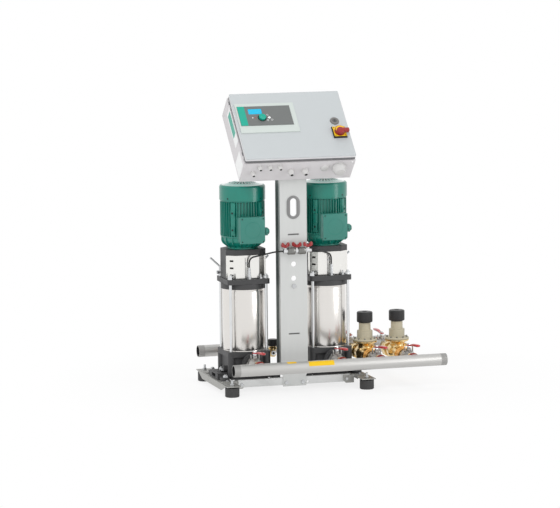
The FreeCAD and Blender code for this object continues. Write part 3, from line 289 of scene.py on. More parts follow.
def brushed_pipe(name, color, ends):
    """Steel drawn along its length, a little darker where the threads are cut."""
    look = Look(name, color, 0.3, 0.85)
    lines = look.noise(260.0, (0.02, 1, 1), 3.0)
    middle, half = (ends[0] + ends[1]) / 2 * MM, (ends[1] - ends[0]) / 2 * MM
    band = (look.x - middle).size() > half - THREAD * MM
    look.paint(look.blend((lines - 0.4).clamped() * 0.25 + band * 0.55,
                          tuple(c * 0.5 for c in color)))
    look.rough(lines * 0.12 + band * 0.06 + 0.4)
    return look.material


zinc = metal("zinc", (0.72, 0.73, 0.725), 0.42, (1, 1, 0.15), 60.0, spread=0.12, metallic=0.45)
column_zinc = column_look("column_zinc", (0.62, 0.63, 0.62))
rail_zinc = metal("rail_zinc", (0.42, 0.42, 0.40), 0.5, (1, 0.2, 1), 60.0, spread=0.2, metallic=0.7)
fastener = metal("fastener", (0.56, 0.57, 0.58), 0.26, spread=0.15)
sleeve_metal = drawn_sheet("sleeve_metal", (0.77, 0.745, 0.715), 0.24)
pipe_metal = brushed_pipe("pipe_metal", (0.55, 0.545, 0.53), PIPE_ENDS)
guard_metal = metal("guard_metal", (0.86, 0.85, 0.82), 0.24, (0.05, 0.05, 1.0), 200.0, spread=0.08)
nickel = polished("nickel", (0.48, 0.47, 0.45), 0.36)
chrome = polished("chrome", (0.74, 0.75, 0.76), 0.16)
sensor_metal = polished("sensor_metal", (0.24, 0.24, 0.23), 0.28)
brass = polished("brass", (0.80, 0.60, 0.30), 0.22)
bronze = polished("bronze", (0.80, 0.42, 0.12), 0.3)
inner_steel = metal("inner_steel", (0.5, 0.5, 0.5), 0.35)
cast = painted("cast", srgb(62, 62, 63), 0.5, 0.5, grain=420.0, depth=0.0004, soft=0.0018)
rubber = painted("rubber", srgb(62, 62, 62), 0.7, 0.4)
cable_black = painted("cable_black", srgb(22, 22, 22), 0.5, 0.3)
teal = painted("teal", srgb(6, 124, 108), 0.34, 0.4, coat=0.4, grain=500.0, depth=0.0001,
               soft=0.0012)
# The fan cover's domed top is a lighter teal than the sides, a painted reflection of the bright
# room, with a glossier coat
teal_top = painted("teal_top", srgb(40, 150, 134), 0.1, 0.2, coat=1.0, depth=0.00001, soft=0.0012)
teal_box = painted("teal_box", srgb(52, 124, 112), 0.42, 0.15, coat=0.1, soft=0.0012)
red = painted("red", srgb(190, 22, 28), 0.18, 0.3, coat=1.0)
red_dark = painted("red_dark", srgb(150, 24, 26), 0.35, 0.3, coat=0.3)
slot_dark = painted("slot_dark", srgb(96, 97, 96), 0.6, 0.1)
rim_steel = metal("rim_steel", (0.24, 0.24, 0.24), 0.4, (1, 1, 0.15), 60.0, spread=0.1,
                  metallic=0.6)
cream = painted("cream", srgb(192, 184, 160), 0.45, 0.4, grain=420.0, depth=0.0003, soft=0.0015)
black_plastic = painted("black_plastic", srgb(38, 38, 39), 0.42, 0.2)
lock_metal = polished("lock_metal", (0.16, 0.16, 0.16), 0.4)
dark = painted("dark", srgb(18, 18, 18), 0.6, 0.2)
grey_plastic = painted("grey_plastic", srgb(120, 118, 116), 0.45, 0.2)
cabinet_paint = painted("cabinet_paint", srgb(216, 213, 215), 0.46, 0.05, soft=0.003)
# The door's rim colour is a painted highlight and its darkest colour is a painted shade line
door_paint = door_look("door_paint", srgb(190, 195, 197), srgb(226, 226, 228), srgb(112, 112, 115))
light_plastic = painted("light_plastic", srgb(205, 204, 203), 0.5, 0.1, soft=0.0008)
pale = painted("pale", srgb(200, 208, 204), 0.4, 0.05)
panel_grey = painted("panel_grey", srgb(108, 111, 110), 0.35, 0.1)
panel_teal = painted("panel_teal", srgb(0, 165, 142), 0.35, 0.1)
screen_blue = painted("screen_blue", srgb(0, 186, 226), 0.2, 0.05)
white_paint = painted("white_paint", srgb(245, 246, 246), 0.4, 0.05)
yellow = painted("yellow", srgb(243, 198, 12), 0.4, 0.1)
gear_plastic = painted("gear_plastic", srgb(205, 205, 200), 0.4, 0.1)

# The CAD nodes that keep their own shape
looks = {
    "side_rail_left": rail_zinc, "side_rail_right": rail_zinc, "front_beam": zinc,
    "rear_beam": zinc, "beam_brackets": rail_zinc, "column": column_zinc, "rubber_feet": rubber,
    "frame_bolts": fastener, "hinge_pins": fastener, "head_fittings": fastener,
    "pump_base_left": cast, "pump_base_right": cast, "pump_head_left": cast,
    "pump_head_right": cast, "coupling_guards": guard_metal, "rotor_left": inner_steel,
    "rotor_right": inner_steel, "cabinet_body": cabinet_paint, "cabinet_door": door_paint,
    "mounting_plate": zinc, "control_gear": gear_plastic, "hmi_frame": pale,
    "hmi_panel": panel_grey, "door_lock": lock_metal}
for name, look in looks.items():
    for material_slot in nodes[name].material_slots:
        material_slot.material = look


# Drawing tools
UPRIGHT = Matrix.Rotation(TURN / 4, 4, "X")
SMOOTH_BELOW = math.radians(32.0)
ON_AXIS = 1e-6


def shift(x=0.0, y=0.0, z=0.0):
    return Matrix.Translation((x, y, z))


def toward(at, to):
    """Turns +Z towards another point, starting from the first."""
    at = Vector(at)
    run = Vector(to) - at
    return Matrix.Translation(at) @ run.to_track_quat("Z", "Y").to_matrix().to_4x4()


class Shape:
    """Collects solids for one piece. Each takes the number of its material."""

    def __init__(self):
        self.bm = bmesh.new()

    def take(self, part, look, move=None):
        """Adds one finished solid, moved to its place."""
        if move is not None:
            part.transform(move)
        bmesh.ops.recalc_face_normals(part, faces=part.faces)
        for face in part.faces:
            face.material_index = look
        scratch = bpy.data.meshes.new("scratch")
        part.to_mesh(scratch)
        part.free()
        self.bm.from_mesh(scratch)
        bpy.data.meshes.remove(scratch)

    def block(self, low, high, look=0, move=None, round_by=0.0, steps=2):
        part = bmesh.new()
        centre = [(a + b) / 2 for a, b in zip(low, high)]
        size = [abs(b - a) for a, b in zip(low, high)]
        bmesh.ops.create_cube(part, size=1.0, matrix=Matrix.Translation(centre)
                              @ Matrix.Diagonal(size + [1.0]))
        if round_by:
            bmesh.ops.bevel(part, geom=part.edges[:], offset=round_by, segments=steps,
                            affect="EDGES", profile=0.5)
        self.take(part, look, move)

    def lathe(self, profile, look=0, move=None, steps=48, turn=0.0):
        """Turns a profile of (radius, z), closed by itself where it doesn't meet the axis."""
        part = bmesh.new()
        rings = []
        for r, z in profile:
            if r < ON_AXIS:
                rings.append([part.verts.new((0, 0, z))])
            else:
                ring = []
                for k in range(steps):
                    a = turn + TURN * k / steps
                    ring.append(part.verts.new((r * math.cos(a), r * math.sin(a), z)))
                rings.append(ring)
        pairs = list(zip(rings, rings[1:]))
        if profile[0][0] > ON_AXIS and profile[-1][0] > ON_AXIS:
            pairs.append((rings[-1], rings[0]))
        for a, b in pairs:
            for k in range(steps):
                n = (k + 1) % steps
                if len(a) == 1 and len(b) == 1:
                    continue
                if len(a) == 1:
                    part.faces.new((a[0], b[k], b[n]))
                elif len(b) == 1:
                    part.faces.new((a[k], a[n], b[0]))
                else:
                    part.faces.new((a[k], a[n], b[n], b[k]))
        self.take(part, look, move)

    def rod(self, radius, at, to, look=0, edge=0.4, move=Matrix()):
        length = (Vector(to) - Vector(at)).length
        edge = min(edge, length / 3, radius / 3)
        self.lathe([(0, 0), (radius - edge, 0), (radius, edge), (radius, length - edge),
                    (radius - edge, length), (0, length)], look, move @ toward(at, to), 24)

    def nut(self, across, at, to, look=0, move=Matrix()):
        length = (Vector(to) - Vector(at)).length
        corner = across / math.sqrt(3)
        self.lathe([(0, 0), (corner * 0.93, 0), (corner, 0.8), (corner, length - 0.8),
                    (corner * 0.93, length), (0, length)], look, move @ toward(at, to), 6)

    def prism(self, outline, z0, z1, look=0, move=None, round_by=0.0):
        part = bmesh.new()
        low = [part.verts.new((x, y, z0)) for x, y in outline]
        high = [part.verts.new((x, y, z1)) for x, y in outline]
        part.faces.new(low[::-1])
        part.faces.new(high)
        for k in range(len(outline)):
            n = (k + 1) % len(outline)
            part.faces.new((low[k], low[n], high[n], high[k]))
        if round_by:
            bmesh.ops.bevel(part, geom=part.edges[:], offset=round_by, segments=2, affect="EDGES",
                            profile=0.5)
        self.take(part, look, move)

    def skin(self, outlines, look=0, move=None, closed=False):
        """Joins outlines of equal length, and closes the band or caps its ends."""
        part = bmesh.new()
        rings = [[part.verts.new(point) for point in outline] for outline in outlines]
        for a, b in zip(rings, rings[1:] + (rings[:1] if closed else [])):
            for k in range(len(a)):
                n = (k + 1) % len(a)
                part.faces.new((a[k], a[n], b[n], b[k]))
        if not closed:
            part.faces.new(rings[0])
            part.faces.new(rings[-1])
        self.take(part, look, move)

    def loft(self, sections, look=0, move=None, steps=20, power=0.75):
        """Skins rounded sections, each (y, x, z, half width, half height)."""
        outlines = []
        for y, x, z, wide, tall in sections:
            outline = []
            for k in range(steps):
                c = math.cos(TURN * k / steps)
                s = math.sin(TURN * k / steps)
                outline.append((x + wide * math.copysign(abs(c) ** power, c), y,
                                z + tall * math.copysign(abs(s) ** power, s)))
            outlines.append(outline)
        self.skin(outlines, look, move)

    def absorb(self, mesh, look=0, move=None):
        part = bmesh.new()
        part.from_mesh(mesh)
        self.take(part, look, move)

    def mesh(self, name, materials, scale=1.0):
        mesh = bpy.data.meshes.new(name)
        bmesh.ops.scale(self.bm, vec=(scale, scale, scale), verts=self.bm.verts)
        self.bm.to_mesh(mesh)
        self.bm.free()
        for material in materials:
            mesh.materials.append(material)
        mesh.shade_smooth()
        mesh.set_sharp_from_angle(angle=SMOOTH_BELOW)
        return mesh


def piece(name, shape, materials, body, slot_name, *replaced):
    """Hands a finished shape to its body, in place of the CAD nodes that it replaces."""
    thing = bpy.data.objects.new(name, shape.mesh(name, materials, MM))
    scene.collection.objects.link(thing)
    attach(thing, body)
    if replaced:
        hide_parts(*replaced)


def grown_tree(name, named_inputs, build):
    """A Geometry Nodes tree with named inputs, ending in plain geometry of one material."""
    nodes_in = Nodes(bpy.data.node_groups.new(name, "GeometryNodeTree"))
    face = nodes_in.tree.interface
    for label, kind in [("Shape", "Geometry")] + named_inputs + [("Material", "Material")]:
        face.new_socket(label, in_out="INPUT", socket_type="NodeSocket" + kind)
    face.new_socket("Shape", in_out="OUTPUT", socket_type="NodeSocketGeometry")
    given = nodes_in.add("NodeGroupInput").outputs
    made = build(nodes_in, given)
    real = nodes_in.add("GeometryNodeRealizeInstances", inputs={0: made})
    dress = nodes_in.add("GeometryNodeSetMaterial", inputs={0: real.outputs[0],
                                                            "Material": given["Material"]})
    nodes_in.add("NodeGroupOutput", inputs={0: dress.outputs[0]})
    return nodes_in.tree


def copies(nodes_in, given):
    """Copies a shape around an axis, for rings of details."""
    line = nodes_in.add("GeometryNodeMeshLine",
                        inputs={"Count": given["Count"], "Offset": (0, 0, 0)})
    index = nodes_in.add("GeometryNodeInputIndex")
    turns = nodes_in.add("VectorMath", {"operation": "SCALE"},
                         {0: given["Turn"], "Scale": index.outputs[0]})
    return nodes_in.add("GeometryNodeInstanceOnPoints",
                        inputs={"Points": line.outputs[0], "Instance": given["Shape"],
                                "Rotation": turns.outputs[0]}).outputs[0]


def swept(nodes_in, given):
    """Sweeps a circle along a line of points."""
    path = nodes_in.add("GeometryNodeMeshToCurve", inputs={0: given["Shape"]})
    circle = nodes_in.add("GeometryNodeCurvePrimitiveCircle",
                          inputs={"Resolution": 20, "Radius": given["Radius"]})
    return nodes_in.add("GeometryNodeCurveToMesh", inputs={
        "Curve": path.outputs[0], "Profile Curve": circle.outputs[0], "Fill Caps": True}).outputs[0]


RING = grown_tree("ring", [("Count", "Int"), ("Turn", "Vector")], copies)
SWEEP = grown_tree("sweep", [("Radius", "Float")], swept)


def grown(mesh, tree, values):
    """The plain mesh that a tree makes of another mesh."""
    thing = bpy.data.objects.new("unit", mesh)
    scene.collection.objects.link(thing)
    modifier = thing.modifiers.new("grow", "NODES")
    modifier.node_group = tree
    for item in tree.interface.items_tree:
        if item.in_out == "INPUT" and item.name in values:
            modifier[item.identifier] = values[item.name]
    shown = thing.evaluated_get(bpy.context.evaluated_depsgraph_get())
    result = bpy.data.meshes.new_from_object(shown)
    thing.modifiers.remove(modifier)
    bpy.data.objects.remove(thing)
    return result


def ring_of(shape, count, material):
    return grown(shape.mesh("unit", [material]), RING,
                 {"Count": count, "Turn": (0, 0, TURN / count), "Material": material})


BEND_SHARE = 0.45
BEND_STEPS = 12


def tube(corners, radius, material):
    """A cable along straight runs with soft bends between them."""
    points = [Vector(corners[0])]
    for before, corner, after in zip(corners, corners[1:], corners[2:]):
        into, corner, away = Vector(before), Vector(corner), Vector(after)
        reach = BEND_SHARE * min((corner - into).length, (away - corner).length)
        start = corner + (into - corner).normalized() * reach
        end = corner + (away - corner).normalized() * reach
        for k in range(BEND_STEPS + 1):
            t = k / BEND_STEPS
            points.append(start * (1 - t) ** 2 + corner * 2 * t * (1 - t) + end * t * t)
    points.append(Vector(corners[-1]))
    mesh = bpy.data.meshes.new("path")
    mesh.from_pydata(points, [(k, k + 1) for k in range(len(points) - 1)], [])
    return grown(mesh, SWEEP, {"Radius": radius, "Material": material})


# Motors
COVER_TOP = 730.0
BARS = 24
FINS = 48
RIBS = 16


def dome(r):
    """Height of the fan cover's domed top at a radius."""
    return COVER_TOP - 0.00245 * r * r


bar = Shape()
for r0, r1, half in ((20.0, 34.0, 1.7), (34.0, 49.0, 2.6)):
    bar.prism([(r0, dome(r0)), (r1, dome(r1)), (r1, dome(r1) - 1.4), (r0, dome(r0) - 1.4)], -half,
              half, move=UPRIGHT)
bars = ring_of(bar, BARS, teal_top)
screw = Shape()
screw.rod(2.6, (79.5, 0, 673.5), (81.6, 0, 673.5))
cover_screws = ring_of(screw, 4, dark)
covers = Shape()
for px in PUMPS:
    at = shift(px)
    covers.lathe([(79.0, 666.5), (80.5, 666.5), (80.5, 710), (79.6, 714.5), (76.8, 717.6),
                  (73, 718.4), (73, 716.6), (75.8, 715.8), (78.2, 713), (79.0, 709)], move=at,
                 steps=96)
    # The domed top and its grille bars take the lighter teal of painted reflection
    covers.lathe([(72.8, 718.4), (66, dome(66)), (57, dome(57)), (48, dome(48)),
                  (48, dome(48) - 1.4), (57, dome(57) - 1.4), (66, dome(66) - 1.4), (72.8, 716.6)],
                 2, at, 96)
    covers.lathe([(0, COVER_TOP), (10, dome(10)), (22, dome(22)), (22, dome(22) - 1.5),
                  (0, COVER_TOP - 1.6)], 2, at, 48)
    covers.absorb(bars, 2, at)
    covers.absorb(cover_screws, 1, at @ Matrix.Rotation(math.radians(35), 4, "Z"))
piece("fan_cover_looks", covers, [teal, dark, teal_top], "frame", "teal", "fan_covers")

fin = Shape()
fin.prism([(66, 538), (76, 538), (78.3, 543), (78.3, 659), (76, 663), (66, 663)], -1.25, 1.25,
          move=UPRIGHT)
fins = ring_of(fin, FINS, teal)
rib = Shape()
rib.prism([(46, 500.5), (56, 500.5), (73, 514), (76, 522), (76, 537), (60, 537)], -1.6, 1.6,
          move=UPRIGHT)
ribs = ring_of(rib, RIBS, teal)
for side, px in zip(("left", "right"), PUMPS):
    at = shift(px)
    motor = Shape()
    motor.lathe([(0, 494.1), (53.5, 494.1), (54.5, 495), (54.5, 499), (52, 500.8), (53, 504),
                 (58, 509), (64.5, 515), (70, 521), (72.5, 527), (73, 536), (76.5, 537),
                 (77.5, 538.5), (77.5, 541), (71, 542), (71, 660), (77.5, 661.5), (78.6, 662.5),
                 (78.6, 668), (77, 670), (0, 670)], move=at, steps=96)
    motor.absorb(fins, 0, at)
    motor.absorb(ribs, 0, at)
    motor.block((-30, -79, 538), (30, -60, 602), move=at, round_by=3)
    for corner in (-131, -50, 50, 131):
        out = at @ Matrix.Rotation(math.radians(corner), 4, "Z")
        motor.block((62, -9, 545), (79.5, 9, 660), move=out, round_by=2.5)
        for z in (565.0, 624.0):
            motor.block((70, -8.5, z - 13), (82.5, 8.5, z + 11), move=out, round_by=2.5)
            motor.lathe([(4.6, 0), (7.6, 0), (7.6, 2), (4.6, 2)], 0,
                        out @ shift(82.4, 0, z) @ Matrix.Rotation(TURN / 4, 4, "Y"), 4, TURN / 8)
            motor.block((82.0, -3.2, z - 3.2), (82.7, 3.2, z + 3.2), 1, out)
    piece("motor_" + side, motor, [teal, dark], "frame", "teal", "motor_housing_" + side)

boxes = Shape()
for px in PUMPS:
    at = shift(px)
    boxes.block((-42.5, -118, 525), (42.5, -79, 613.4), 0, at, 5)
    boxes.prism([(-44.5, 523), (38, 523), (44.5, 530), (44.5, 615.4), (-44.5, 615.4)], 118, 130, 0,
                at @ UPRIGHT, 1.6)
    out = at @ shift(0, -LID_FRONT, LID_Z) @ UPRIGHT
    boxes.lathe([(27.3, -0.5), (27.3, 0.3), (28.2, 0.3), (28.2, -0.5)], 2, out, 64)
    for sx in (-1, 1):
        for sz in (-1, 1):
            x, z = px + sx * 38, LID_Z - sz * 39.5
            boxes.lathe([(2.2, 0.9), (3.3, 0.9), (3.9, 0.2), (3.9, -1), (2.2, -1)], 0,
                        out @ shift(sx * 38, sz * 39.5, 0), 20)
            boxes.rod(2.2, (x, -LID_FRONT - 0.4, z), (x, 1 - LID_FRONT, z), 1)
    boxes.rod(9.5, (px + 42, -108, 562), (px + 50, -108, 562))
    boxes.nut(27.0, (px + 47.5, -108, 562), (px + 58, -108, 562))
    boxes.rod(10.5, (px + 57.5, -108, 562), (px + 64, -108, 562), 0, 2.5)
piece("terminal_box_looks", boxes, [teal_box, dark, teal], "frame", "teal_light", "terminal_boxes")


# Ball valves and their levers
def along_y(x, from_y, to_y):
    """A place at pipe height whose +Z runs along Y."""
    return toward((x, from_y, PIPE_Z), (x, to_y, PIPE_Z))


def ball_valve(shape, x, side, inner, stem):
    """A valve from its inner end to the pipe's socket. The stem is given as its distance in Y."""
    long = VALVE_END - inner
    middle = stem - inner
    out = along_y(x, side * inner, side * VALVE_END)
    shape.lathe([(14.3, 12), (19, 12), (19, 15), (17.5, 16), (20, middle - 20), (24, middle - 10),
                 (25, middle), (24, middle + 9), (20, middle + 17), (17.5, long - 16),
                 (19, long - 15), (19, long - 12), (14.3, long - 12)], 0, out, 48)
    for start, look in ((0.0, 0), (long - 13, 1)):
        shape.lathe([(14.3, start), (21.6, start), (23.1, start + 1.2), (23.1, start + 11.8),
                     (21.6, start + 13), (14.3, start + 13)], look, out, 6)
        shape.lathe([(14.3, start + 1), (20.2, start + 1), (20.2, start + 12), (14.3, start + 12)],
                    0, out, 40)
    shape.lathe([(16.95, long + 0.3), (22, long + 0.3), (22, long + 4.6), (16.95, long + 4.6)], 2,
                out, 40)
    at = shift(x, side * stem, 0)
    shape.lathe([(0, 112), (10, 112), (9.2, 119), (9.2, 121), (8.4, 122), (8.4, 129), (7.6, 130),
                 (0, 130)], 0, at, 32)
    shape.lathe([(0, 121.5), (9, 121.5), (9.4, 122.2), (9.4, 126.2), (9, 127), (0, 127)], 0, at, 6)
    for lug in (-1, 1):
        shape.block((lug * 14.4 - 1.4, -4.6, 112), (lug * 14.4 + 1.4, 4.6, 135.6), 0, at, 0.7)
    shape.block((-15.8, -4.6, 117), (15.8, 4.6, 121), 0, at, 0.7)


def lever(shape, x, side, stem, turn):
    swing = math.radians(turn) + (TURN / 2 if side < 0 else 0)
    at = shift(x, side * stem, 0) @ Matrix.Rotation(swing, 4, "Z")
    shape.lathe([(0, 130.5), (6.6, 130.5), (6.6, 132), (5.2, 132.6), (5.2, 139), (0, 139)], 1, at,
                28)
    shape.nut(12, (0, 0, 133.5), (0, 0, 137.5), 1, at)
    shape.loft([(-8.5, 0, 141, 5.0, 1.8), (-6, 0, 141, 7.5, 2.4), (4, 0, 141.2, 7.4, 2.7),
                (14, 0, 141.8, 6.4, 3.2), (22, 0, 143.4, 6.2, 3.8), (29, 0, 145.2, 6.9, 4.4),
                (42, 0, 146, 7.8, 4.8), (60, 0, 146.3, 8.0, 4.9), (68, 0, 146.4, 6.6, 4.0),
                (71, 0, 146.4, 3.6, 2.0)], 0, at)
    for z in (143.1, 145.3):
        shape.lathe([(0, z), (5.4, z), (5.4, z + 1.9), (4.6, z + 2.3), (0, z + 2.3)], 1, at, 6)


for place, axes, inner, stem in (("pump", PUMPS, PUMP_PORT, PUMP_STEM),
                                 ("prv", PRVS, PRV_PORT, PRV_STEM)):
    bodies = Shape()
    for px in axes:
        for side in (-1, 1):
            ball_valve(bodies, px, side, inner, stem)
    piece(place + "_valve_looks", bodies, [nickel, brass, red_dark], "frame", "nickel",
          place + "_valve_bodies")
    for row, side, turn in (("front", -1, 12.0), ("rear", 1, 3.0)):
        for label, px in zip(("left", "right"), axes):
            handle = Shape()
            lever(handle, px, side, stem, turn)
            name = place + "_lever_" + row + "_" + label
            piece(name + "_looks", handle, [red, chrome], name, "red", name)

# Pressure reducing valves
stud = Shape()
stud.lathe([(0, 153.2), (3.4, 153.2), (3.4, 156.4), (2.9, 156.9), (0, 156.9)], 0, shift(36.5), 6)
studs = ring_of(stud, 10, sensor_metal)
line = Shape()
line.block((27.35, -0.45, 156), (27.75, 0.45, 182))
bonnet_lines = ring_of(line, 16, cream)
prv = Shape()
unions = Shape()
bonnets = Shape()
for px in PRVS:
    at = shift(px, PRV_Y, 0)
    prv.lathe([(0, 64), (12, 66), (24, 74), (31, 85), (34, 98), (31.5, 110), (26, 118.5), (24, 124),
               (25, 129), (30, 134), (40.5, 138.5), (43, 140.5), (43, 145.1), (0, 145.1)], 0, at,
              64)
    out = along_y(px, -PRV_PORT, PRV_PORT)
    prv.lathe([(14.3, 0), (17, 0), (17, 30), (24, 46), (25, 60), (25, 132), (24, 150), (17, 168),
               (17, 232), (14.3, 232)], 0, out, 48)
    prv.rod(7, (px, PRV_Y, 98), (px + 16, -56, 112))
    prv.nut(14, (px + 16, -56, 112), (px + 18, -61, 114))
    prv.lathe([(0, 118), (6.5, 118), (6.5, 128), (0, 130)], 0, shift(px + 30, PRV_Y - 6, 0), 6)
    rear = along_y(px, 42, 80)
    unions.lathe([(17.05, 0), (28, 0), (30, 2), (30, 14), (28, 16), (26, 16.5), (26, 20), (28, 21),
                  (29.5, 23), (29.5, 34), (27, 38), (17.05, 38)], 0, rear, 8)
    front = along_y(px, -104, -76)
    unions.lathe([(17.05, 0), (24, 0), (26, 2), (26, 10), (23, 12), (23, 16), (27.5, 18),
                  (28.2, 20), (28.2, 26), (26, 28), (17.05, 28)], 1, front, 40)
    unions.lathe([(17.05, -0.1), (21, -0.1), (21, 2.2), (17.05, 2.2)], 2, front, 40)
    bonnets.lathe([(0, 145.2), (41.5, 145.2), (43.3, 147), (43.5, 150), (41.8, 152.6), (38, 153.5),
                   (29, 153.7), (27.6, 155.2), (27.4, 181.2), (26.4, 182.4), (22.4, 182.6),
                   (21.2, 183.8), (21, 200), (20.6, 200.4), (20.6, 201.4), (21, 201.8), (21, 209.2),
                   (20.4, 210), (7.1, 210), (7.1, 182), (0, 182)], 0, at, 64)
    bonnets.absorb(bonnet_lines, 0, at)
    bonnets.absorb(studs, 1, at)
piece("prv_body_looks", prv, [brass], "frame", "brass", "prv_bodies")
piece("union_looks", unions, [brass, bronze, chrome], "frame", "brass", "prv_unions")
piece("bonnet_looks", bonnets, [cream, sensor_metal], "frame", "cream", "prv_bonnets")
grip_line = Shape()
grip_line.block((27.7, -0.8, 215), (28.1, 0.8, 246))
grip_lines = ring_of(grip_line, 36, black_plastic)
for label, px in zip(("left", "right"), PRVS):
    cap = Shape()
    at = shift(px, PRV_Y, 0)
    cap.lathe([(0, 190), (7, 190), (7, 210.4), (21, 210.4), (22, 212), (27.2, 212.4), (27.9, 214),
               (27.9, 246.5), (25.6, 248.9), (22, 249.5), (9, 249.3), (7.5, 247.5), (0, 247.2)], 0,
              at, 64)
    cap.absorb(grip_lines, 0, at)
    piece("prv_cap_looks_" + label, cap, [black_plastic], "prv_cap_" + label, "black_plastic",
          "prv_cap_" + label)

# Drain valve behind the column, with its knurled hand wheel
drain = Shape()
drain_at = shift(MID_X, DRAIN_Y, 0)
drain.lathe([(0, 78), (8.5, 78), (9, 79), (12, 84), (12, 90), (11, 91), (11, 104), (15.5, 105.5),
             (16, 107), (16, 110.5), (14, 112), (10, 113), (10, 120), (0, 120)], 0, drain_at, 40)
drain.nut(22, (MID_X, DRAIN_Y, PIPE_Z), (MID_X, DRAIN_Y + 22, PIPE_Z))
drain.rod(7, (MID_X, DRAIN_Y, PIPE_Z), (MID_X - 24, DRAIN_Y - 6, PIPE_Z))
drain.rod(9, (MID_X + 1, 143, 93), (MID_X - 1, 136, 92), 1)
# The thin dark disc on the outlet's end is painted shade for its bore
drain.rod(4.5, (MID_X - 1, 136.2, 92), (MID_X - 1.2, 135.6, 91.9), 2)
piece("drain_looks", drain, [brass, chrome, dark], "frame", "brass", "drain_valve_body")
knurl = Shape()
knurl.block((15.6, -1, 118), (17, 1, 139.6), round_by=0.3, steps=1)
wheel = Shape()
wheel.lathe([(0, 106), (5, 106), (5, 117), (15.6, 117), (16.4, 118), (16.4, 139.6), (15.2, 141),
             (0, 141)], 0, drain_at, 48)
wheel.absorb(ring_of(knurl, 24, black_plastic), 0, drain_at)
piece("drain_wheel_looks", wheel, [black_plastic], "drain_valve_cap", "black_plastic",
      "drain_valve_cap")


# Manifold pipes with cut threads, and the sockets welded to them
def thread(start, step=2.31, turns=9, low=20.7, high=21.15):
    points = []
    for k in range(turns):
        points += [(low, start + step * k), (high, start + step * (k + 0.5))]
    return points


sockets = [(x, 16.85, VALVE_END + 0.2) for x in PUMPS + PRVS]
for label, side, small in (("front", -1, []), ("rear", 1, [(MID_X, 9.0, DRAIN_Y + 22.2)])):
    pipes = Shape()
    y = side * PIPE_Y
    out = toward((PIPE_ENDS[0], y, PIPE_Z), (PIPE_ENDS[1], y, PIPE_Z))
    pipes.lathe([(18.65, 0), (20.6, 0)] + thread(1.2) + [(21.2, 22.6), (21.2, 751.4)]
                + thread(752.6) + [(20.6, 774), (18.65, 774)], 0, out, 64)
    # A dark lining inside the pipe and a dark disc across its middle are painted shade for its
    # hollow inside
    for start in (0.5, 773.5):
        pipes.lathe([(18.3, start), (18.64, start), (18.64, 387), (18.3, 387)], 1, out, 48)
    pipes.lathe([(0, 386.5), (18.64, 386.5), (18.64, 387.5), (0, 387.5)], 1, out, 48)
    for px, r, end in sockets + small:
        out = along_y(px, y, side * end)
        long = PIPE_Y - end
        pipes.lathe([(r - 2.6, 0), (r, 0), (r, long), (r - 2.6, long)], 0, out, 40)
        pipes.lathe([(r - 1, 19.4), (r + 3.2, 19.6), (r + 1.8, 22.2), (r - 1, 24)], 0, out, 40)
    piece(label + "_pipe", pipes, [pipe_metal, dark], "frame", "pipe_steel", label + "_manifold")

sleeves = Shape()
for px in PUMPS:
    sleeves.lathe([(72.6, 131.1), (74, 131.1), (74, 137.6), (73.6, 138.4), (73.6, 140), (74, 140.8),
                   (74, 345.4), (73.5, 346.4), (73.5, 348), (74, 349), (74, 361), (72.6, 361)], 0,
                  shift(px), 128)
piece("sleeve_looks", sleeves, [sleeve_metal], "frame", "sleeve_steel", "pump_sleeves")

tie = Shape()
tie.rod(5.3, (90.93, 0, 118), (90.93, 0, 408), 0, 1.0)
tie.nut(17.0, (90.93, 0, 391.4), (90.93, 0, 402.3))
ties = ring_of(tie, 4, chrome)
rods = Shape()
for px in PUMPS:
    rods.absorb(ties, 0, shift(px) @ Matrix.Rotation(TURN / 8, 4, "Z"))
piece("rod_looks", rods, [chrome], "frame", "fastener", "tie_rods")


# Sensor tee, pressure sensors and the small red wing handles
def at_tee(x0, x1):
    return toward((MID_X + x0, TEE_Y, TEE_Z), (MID_X + x1, TEE_Y, TEE_Z))


tee = Shape()
for tip, far in ((TEE_LEFT, TEE_RIGHT), (TEE_RIGHT, TEE_LEFT)):
    tee.lathe([(0, 0), (6, 0), (7, 1), (7, 15), (9, 16), (9, 20), (0, 20)], 0, at_tee(tip, far), 6)
tee.rod(7, (MID_X + TEE_LEFT, TEE_Y, TEE_Z), (MID_X + TEE_RIGHT, TEE_Y, TEE_Z))
tee.lathe([(0, 0), (8, 0), (9, 1), (9, 10), (8, 11), (0, 11)], 0, at_tee(-3, 8), 32)
tee.rod(8.5, (MID_X + 2.5, TEE_Y, TEE_Z), (MID_X + 2.5, COLUMN_FRONT, TEE_Z))
tee.nut(18, (MID_X + 2.5, -124, TEE_Z), (MID_X + 2.5, COLUMN_FRONT, TEE_Z))
for x in WING_X:
    tee.lathe([(0, 494), (6.5, 494), (6.5, 500), (5.2, 501), (5.2, 504), (5.8, 504.4), (5.8, 505),
               (0, 505)], 0, shift(MID_X + x, TEE_Y, 0), 28)
cables = Shape()
for px, tip, lead, end in ((PUMPS[0], TEE_LEFT, -25, 12), (PUMPS[1], TEE_RIGHT, 25, -12)):
    run = [(px + 3, -68, 420), (px + 3, -68, 466), (MID_X + tip + lead, TEE_Y, TEE_Z),
           (MID_X + tip + end, TEE_Y, TEE_Z)]
    cables.absorb(tube(run, 2.8, cable_black))
piece("cable_looks", cables, [cable_black], "frame", "rubber_black", "sensor_cables")
piece("tee_looks", tee, [chrome], "frame", "nickel", "sensor_tee")
sensors = Shape()
for x0, x1 in ((-30.0, -3.0), (8.0, 36.0)):
    sensors.lathe([(9.1, 0), (11, 0), (12.6, 1.5), (12.9, 4), (12.9, 9), (12.3, 9.6), (12.3, 11),
                   (12.9, 11.6), (12.9, 24), (11.8, 26), (9.1, 27)], 0, at_tee(x0, x1), 48)
    sensors.lathe([(9.1, 16.4), (13, 16.4), (13, 19.4), (9.1, 19.4)], 1, at_tee(x0, x1), 48)
piece("sensor_looks", sensors, [sensor_metal, grey_plastic], "frame", "grey_plastic",
      "pressure_sensors")
